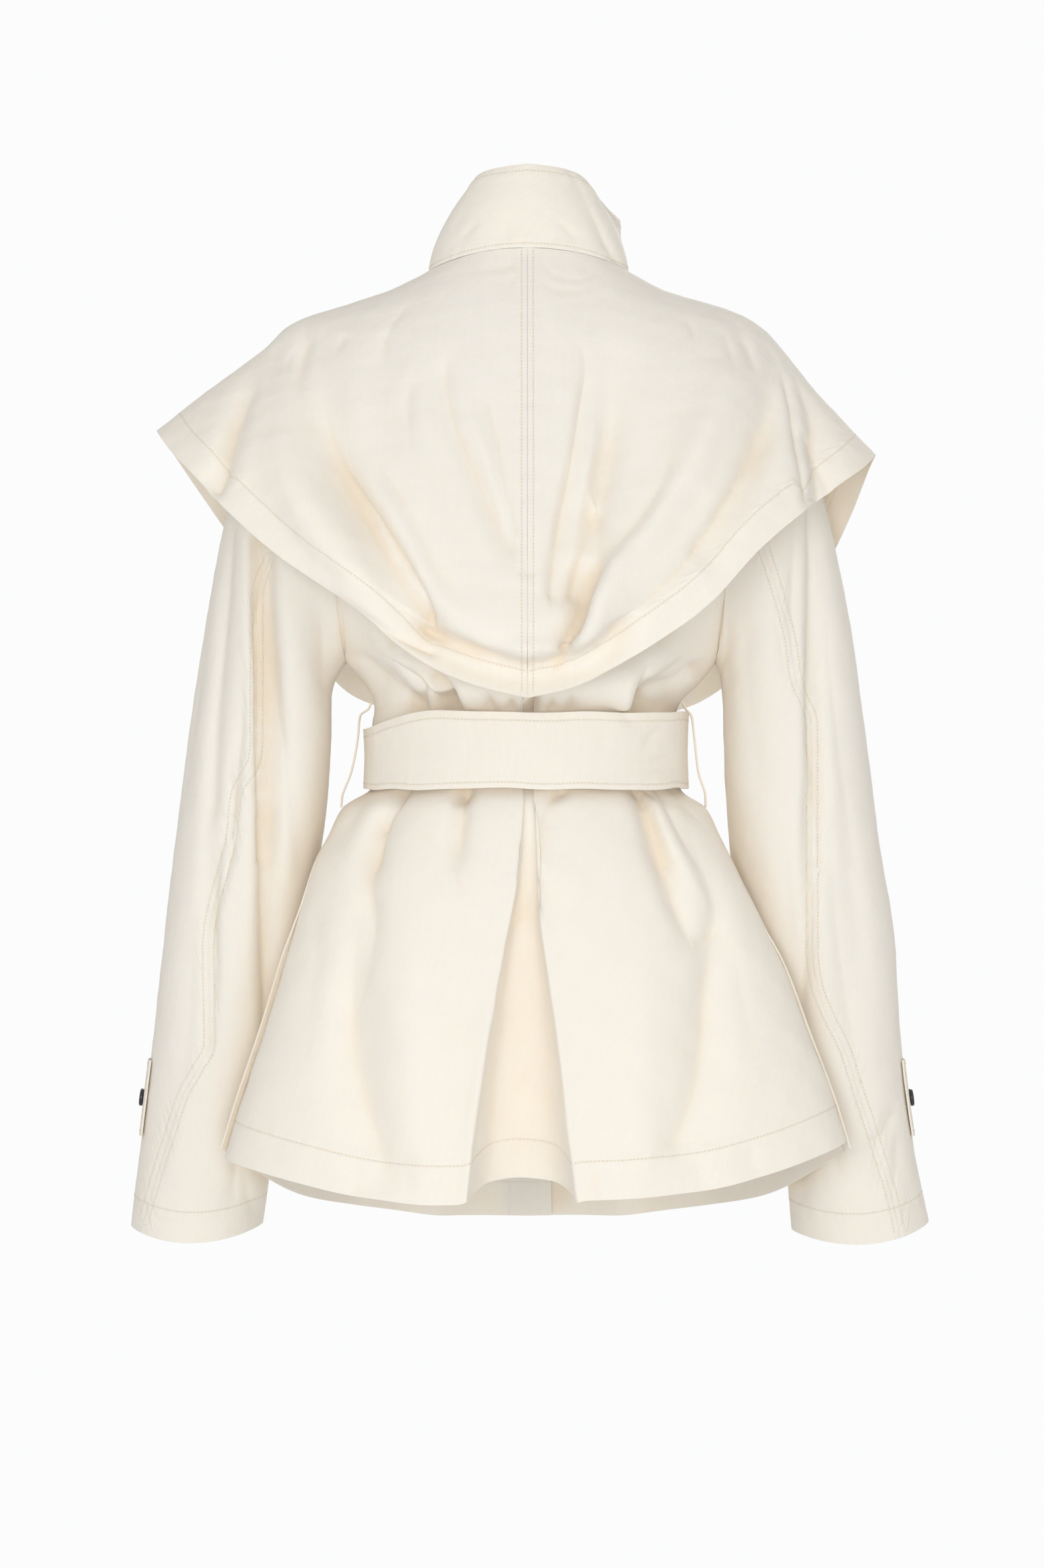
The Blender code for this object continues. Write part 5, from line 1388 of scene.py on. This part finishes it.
def back_cloth():
    across, below, above, top = BACK_GRID
    out_at = np.sin(np.linspace(-np.pi / 2, np.pi / 2, across))
    points = evened(pleated(body(-1, out_at, heights(below, above, 0.003), np.linspace(0, 1, top))))
    points = creased(points, outward_of(points), BACK_CREASES, BACK_PLANE, held=by_belt(points))
    out = outward_of(points)
    points = rippled(points, out * (1 - by_belt(points))[..., None], "back")
    return sewn("back", points, out, (("first", SKIRT_HEM_STITCH),), "back_body")


def front_cloth(word, way):
    under = OVERLAP / BODY[-1].left_half
    lap, across, below, above, top = FRONT_GRID
    side = crowded(np.linspace(0.10, 1, across))
    columns = way * np.concatenate([np.linspace(-under, under, lap), side[side > under + 0.01]])
    points = body(1, columns, heights(below, above, 0.004), np.linspace(0, 1, top))
    if way > 0:
        points[..., 1] += FRONT_LAP * (1 - step(points[..., 0], 1.2 * OVERLAP, 3 * OVERLAP))
    out = outward_of(points)
    held = np.maximum(by_belt(points), 1 - step(abs(points[..., 0]), OVERLAP, 3 * OVERLAP))
    off = out * (1 - held)[..., None]
    points = creased(points, off, BACK_CREASES, BACK_PLANE, before=True, strength=CREASED_BEFORE, held=held)
    ahead = points[:, -1:] - points[:, -3:-2]
    ahead /= np.linalg.norm(ahead, axis=-1, keepdims=True)
    turned = [points[:, -1:] + ahead * further - out[:, -1:] * inward for further, inward in SIDE_ALLOWANCE]
    points = np.concatenate([points, *turned], 1)
    out = np.concatenate([out] + [out[:, -1:]] * len(turned), 1)
    return sewn("front_" + word, points, out, (("first", SKIRT_HEM_STITCH), ("left", PLACKET_STITCH)))


def sleeve_cloth(word, side):
    name = "sleeve_" + word
    columns, above, cuff = SLEEVE_GRID
    around = np.radians(np.linspace(180, 540, columns, endpoint=False))
    down = np.concatenate([np.linspace(0, 0.955, above), np.linspace(0.960, 1, cuff)])
    points = evened(sleeve(side, around, down), True)
    inward = points[0] + (points[0].mean(0) - points[0]) * ALLOWANCE[0]
    points = np.concatenate([[inward - (side * way, 0, 0) for way in ALLOWANCE[1:]], points])
    out = outward_of(points, True)
    points = creased(points, out, SLEEVE_CREASES[side], SLEEVE_PLANE)
    kept = (1 - step(points[..., 2], *UNDER_CAPE))[..., None]
    front = points.copy()
    front[..., 0] = 2 * CAMERA_X - front[..., 0]
    mirror = (-1, 1, 1)
    in_front = dict(before=True, strength=CREASED_BEFORE)
    pressed = creased(front, out * mirror, SLEEVE_CREASES[side], SLEEVE_PLANE, **in_front)
    points = points + (pressed - front) * mirror * kept
    out = outward_of(points, True)
    points = rippled(points, out * kept, name)
    seam = fine_path(np.reshape(SLEEVE_SEAM[side], (-1, 2)) / 1000)
    right = nearest_on(seam, points[..., 0], points[..., 2])[1]
    gap = np.where(out[..., 1] < -0.1, right, FAR)
    lines = [on_cloth(points, beside(seam, row), True) for row in (-SEAM_STEP, SEAM_STEP)]
    return sewn(name, points, out, (("last", CUFF_STITCH),), wrap=True, lines=lines, seam=gap)


def tab_cloth(word, side):
    """The strap round the cuff, its own stitches, and the button where it ends."""
    columns, rows = TAB_GRID
    around = np.radians(np.linspace(TAB_START, TAB_END, columns))
    down = read(SLEEVE, "along", np.linspace(TAB_TOP, TAB_BOTTOM, rows), by="left_outer_z")
    points = sleeve(side, around, down)
    off = outward_of(points - (side * CUFF_MIDDLE[0], CUFF_MIDDLE[1], 0))
    end = step(np.degrees(around), TAB_END - TAB_LIFT_TURN, TAB_END)
    points = points + off * (LAP + TAB_LIFTS * end)[None, :, None]
    points = rippled(points, off, "cuff_tab_" + word)
    made = sewn("cuff_tab_" + word, points, off, [(edge, TAB_STITCH) for edge in EDGE_AXIS], banded=False)
    row, place = rows // 2, int(np.argmin(abs(np.degrees(around))))
    return *made, button("button_" + word, points[row, place], off[row, place])


def button(node, spot, off):
    """A dished round button with a raised rim, its back just off the cloth."""
    across = np.cross(off, (0, 0, 1))
    across /= np.linalg.norm(across)
    up = np.cross(across, off)
    base = spot + off * (CLOTH / 2 + 2 * SEAM_GAP)
    turns = np.linspace(0, 2 * np.pi, BUTTON_SIDES, endpoint=False)
    vertices, faces = [base], []
    for ring in BUTTON_PROFILE:
        for turn in turns:
            flat = across * np.cos(turn) + up * np.sin(turn)
            vertices.append(base + off * ring.high * BUTTON_HEIGHT + flat * ring.wide * BUTTON_RADIUS)
    vertices.append(base + off * BUTTON_PROFILE[-1].high * BUTTON_HEIGHT)
    count = len(turns)
    last = 1 + (len(BUTTON_PROFILE) - 1) * count
    for j in range(count):
        k = (j + 1) % count
        faces += [(0, 1 + k, 1 + j), (last + j, last + k, len(vertices) - 1)]
        faces += [(a + j, a + k, a + count + k, a + count + j) for a in range(1, last, count)]
    return piece(node + "_horn", np.array(vertices).tolist(), faces, "horn", "button", node)


def waves(turn, base, *rows):
    """Waves round the belt, each with its height, how many go round, and its start."""
    return sum(height * (base + np.sin(count * turn + start)) for height, count, start in rows)


def belt_cloth():
    columns, rows = BELT_GRID
    turns = np.linspace(-BELT_OVERLAP / 2, 360 + BELT_OVERLAP / 2, columns)
    points = belt(turns, np.linspace(0, 1, rows))
    out = outward_of(points)
    height = np.linspace(-1, 1, rows)[:, None]
    turn = np.radians(turns)[None, :]
    above = waves(turn, 0, (0.0007, 3, 0.6), (0.0005, 7, 2.0), (0.0003, 13, 0))
    below = waves(turn, 0, (0.0006, 4, 2.2), (0.0005, 9, 0.7), (0.0003, 15, 0))
    points[..., 2] += (above * (1 + height) + below * (1 - height)) / 2
    bow = waves(turn, 1, (0.0006, 5, 1.1), (0.0004, 11, 0.4))
    points += out * (bow * abs(height) ** 1.5)[..., None]
    sides = np.exp(-((points[..., 0] - BELT_SAG_AT) / BELT_SAG_WIDE) ** 2)
    points[..., 2] -= BELT_SAG * sides * ((1 + height) / 2) ** 1.5
    points = creased(points, out, BELT_CREASES, BELT_PLANE)
    out = outward_of(points)
    distances = (BELT_STITCH, BELT_TOP_STITCH, BELT_STITCH, BELT_STITCH)
    edges = tuple(zip(("first", "last", "left", "right"), distances))
    made = sewn("belt", rippled(points, out, "belt"), out, edges, wall=BELT_WALL, banded=False)
    spot = np.array([0.0, BELT_DEPTH + LAP_BELT + BELT_BUTTON_LIFT, (BELT_TOP + BELT_BOTTOM) / 2])
    return *made, button("belt_button", spot, np.array([0.0, 1.0, 0.0]))


def carrier_cloth(word, side):
    x, z = fine_path(np.reshape(CARRIER[side], (-1, 2))).T
    places = np.linspace(-0.5, 0.5, CARRIER_ROWS) * CARRIER_WIDTH + CARRIER_Y
    points = np.stack([np.stack([side * x, np.full(len(x), y), z], -1) for y in places])
    edges = (("first", CARRIER_STITCH), ("last", CARRIER_STITCH))
    name = "belt_loop_" + word
    cloth(name + "_cloth", name, points, outward_of(points), wall=0.75 * CARRIER_WALL, stitched=edges)


# The stage
def build_stage():
    """A white paper sweep, floor and walls in one, and soft studio lights."""
    profile = [(0.0, FLOOR_Z)]
    for turn in np.linspace(0, np.pi / 2, 9):
        bend = SWEEP_BEND * (1 - np.sin(turn))
        profile.append((SWEEP_RADIUS - bend, FLOOR_Z + SWEEP_BEND * (1 - np.cos(turn))))
    profile += [(SWEEP_RADIUS, SWEEP_TOP), (0.0, SWEEP_TOP + SWEEP_BEND)]
    turns = np.linspace(0, 2 * np.pi, 65)[:-1]
    vertices = [(r * np.cos(t), r * np.sin(t), z) for r, z in profile for t in turns]
    mesh = bpy.data.meshes.new("floor")
    mesh.from_pydata(vertices, [], cells(len(profile), len(turns), True).tolist())
    mesh.materials.append(studio_white())
    mesh.shade_smooth()
    floor = link("floor", mesh)
    floor.visible_diffuse = floor.visible_glossy = floor.visible_transmission = floor.visible_shadow = False
    scene = bpy.context.scene
    scene.world = bpy.data.worlds.new("studio")
    scene.world.use_nodes = True
    sky = scene.world.node_tree.nodes["Background"].inputs
    sky["Color"].default_value = (*SKY_COLOR, 1)
    sky["Strength"].default_value = SKY_STRENGTH
    for light in LIGHTS:
        data = bpy.data.lights.new(light.name, "AREA")
        data.shape, data.size, data.energy, data.color = "DISK", light.size, light.power, light.color
        made = link(light.name, data)
        made.location = light.place
        aim = Vector((0, 0, light.aim_z)) - Vector(light.place)
        made.rotation_euler = aim.to_track_quat("-Z", "Y").to_euler()
        made.visible_camera = False
    scene.view_settings.view_transform = "Standard"
    scene.view_settings.look = "None"


def build_camera():
    """Level, straight behind the jacket: the picture's height takes in 1.272 m at its middle."""
    data = bpy.data.cameras.new("camera")
    data.sensor_fit = "AUTO"
    data.sensor_width = 36.0
    data.lens = 36.0 * CAMERA_DISTANCE / VIEW_HEIGHT
    made = link("camera", data)
    made.location = (CAMERA_X, -CAMERA_DISTANCE, CAMERA_Z)
    made.rotation_euler = (np.pi / 2, 0, 0)
    bpy.context.scene.camera = made


def main():
    build_camera()
    build_stage()
    # The cloth's cream, a warmer deeper colour painted in as shade in folds, hollows and stitch grooves, and
    # the colour of doubled hems
    PAINTS["cloth"] = woven(linear(247, 242, 234), linear(238, 226, 209), linear(246, 241, 233))
    PAINTS["thread"] = spun(linear(240, 231, 210))
    PAINTS["horn"] = horn()
    for word, side in (("left", -1), ("right", 1)):
        made, *extras = cape_cloth(word, side)
        made, *extras = sleeve_cloth(word, side)
        made, *extras = front_cloth(word, side)
        made, *extras = tab_cloth(word, side)
        carrier_cloth(word, side)
    made, *extras = back_cloth()
    made, *extras = collar_cloth()
    made, *extras = belt_cloth()
    shade_folds()


main()
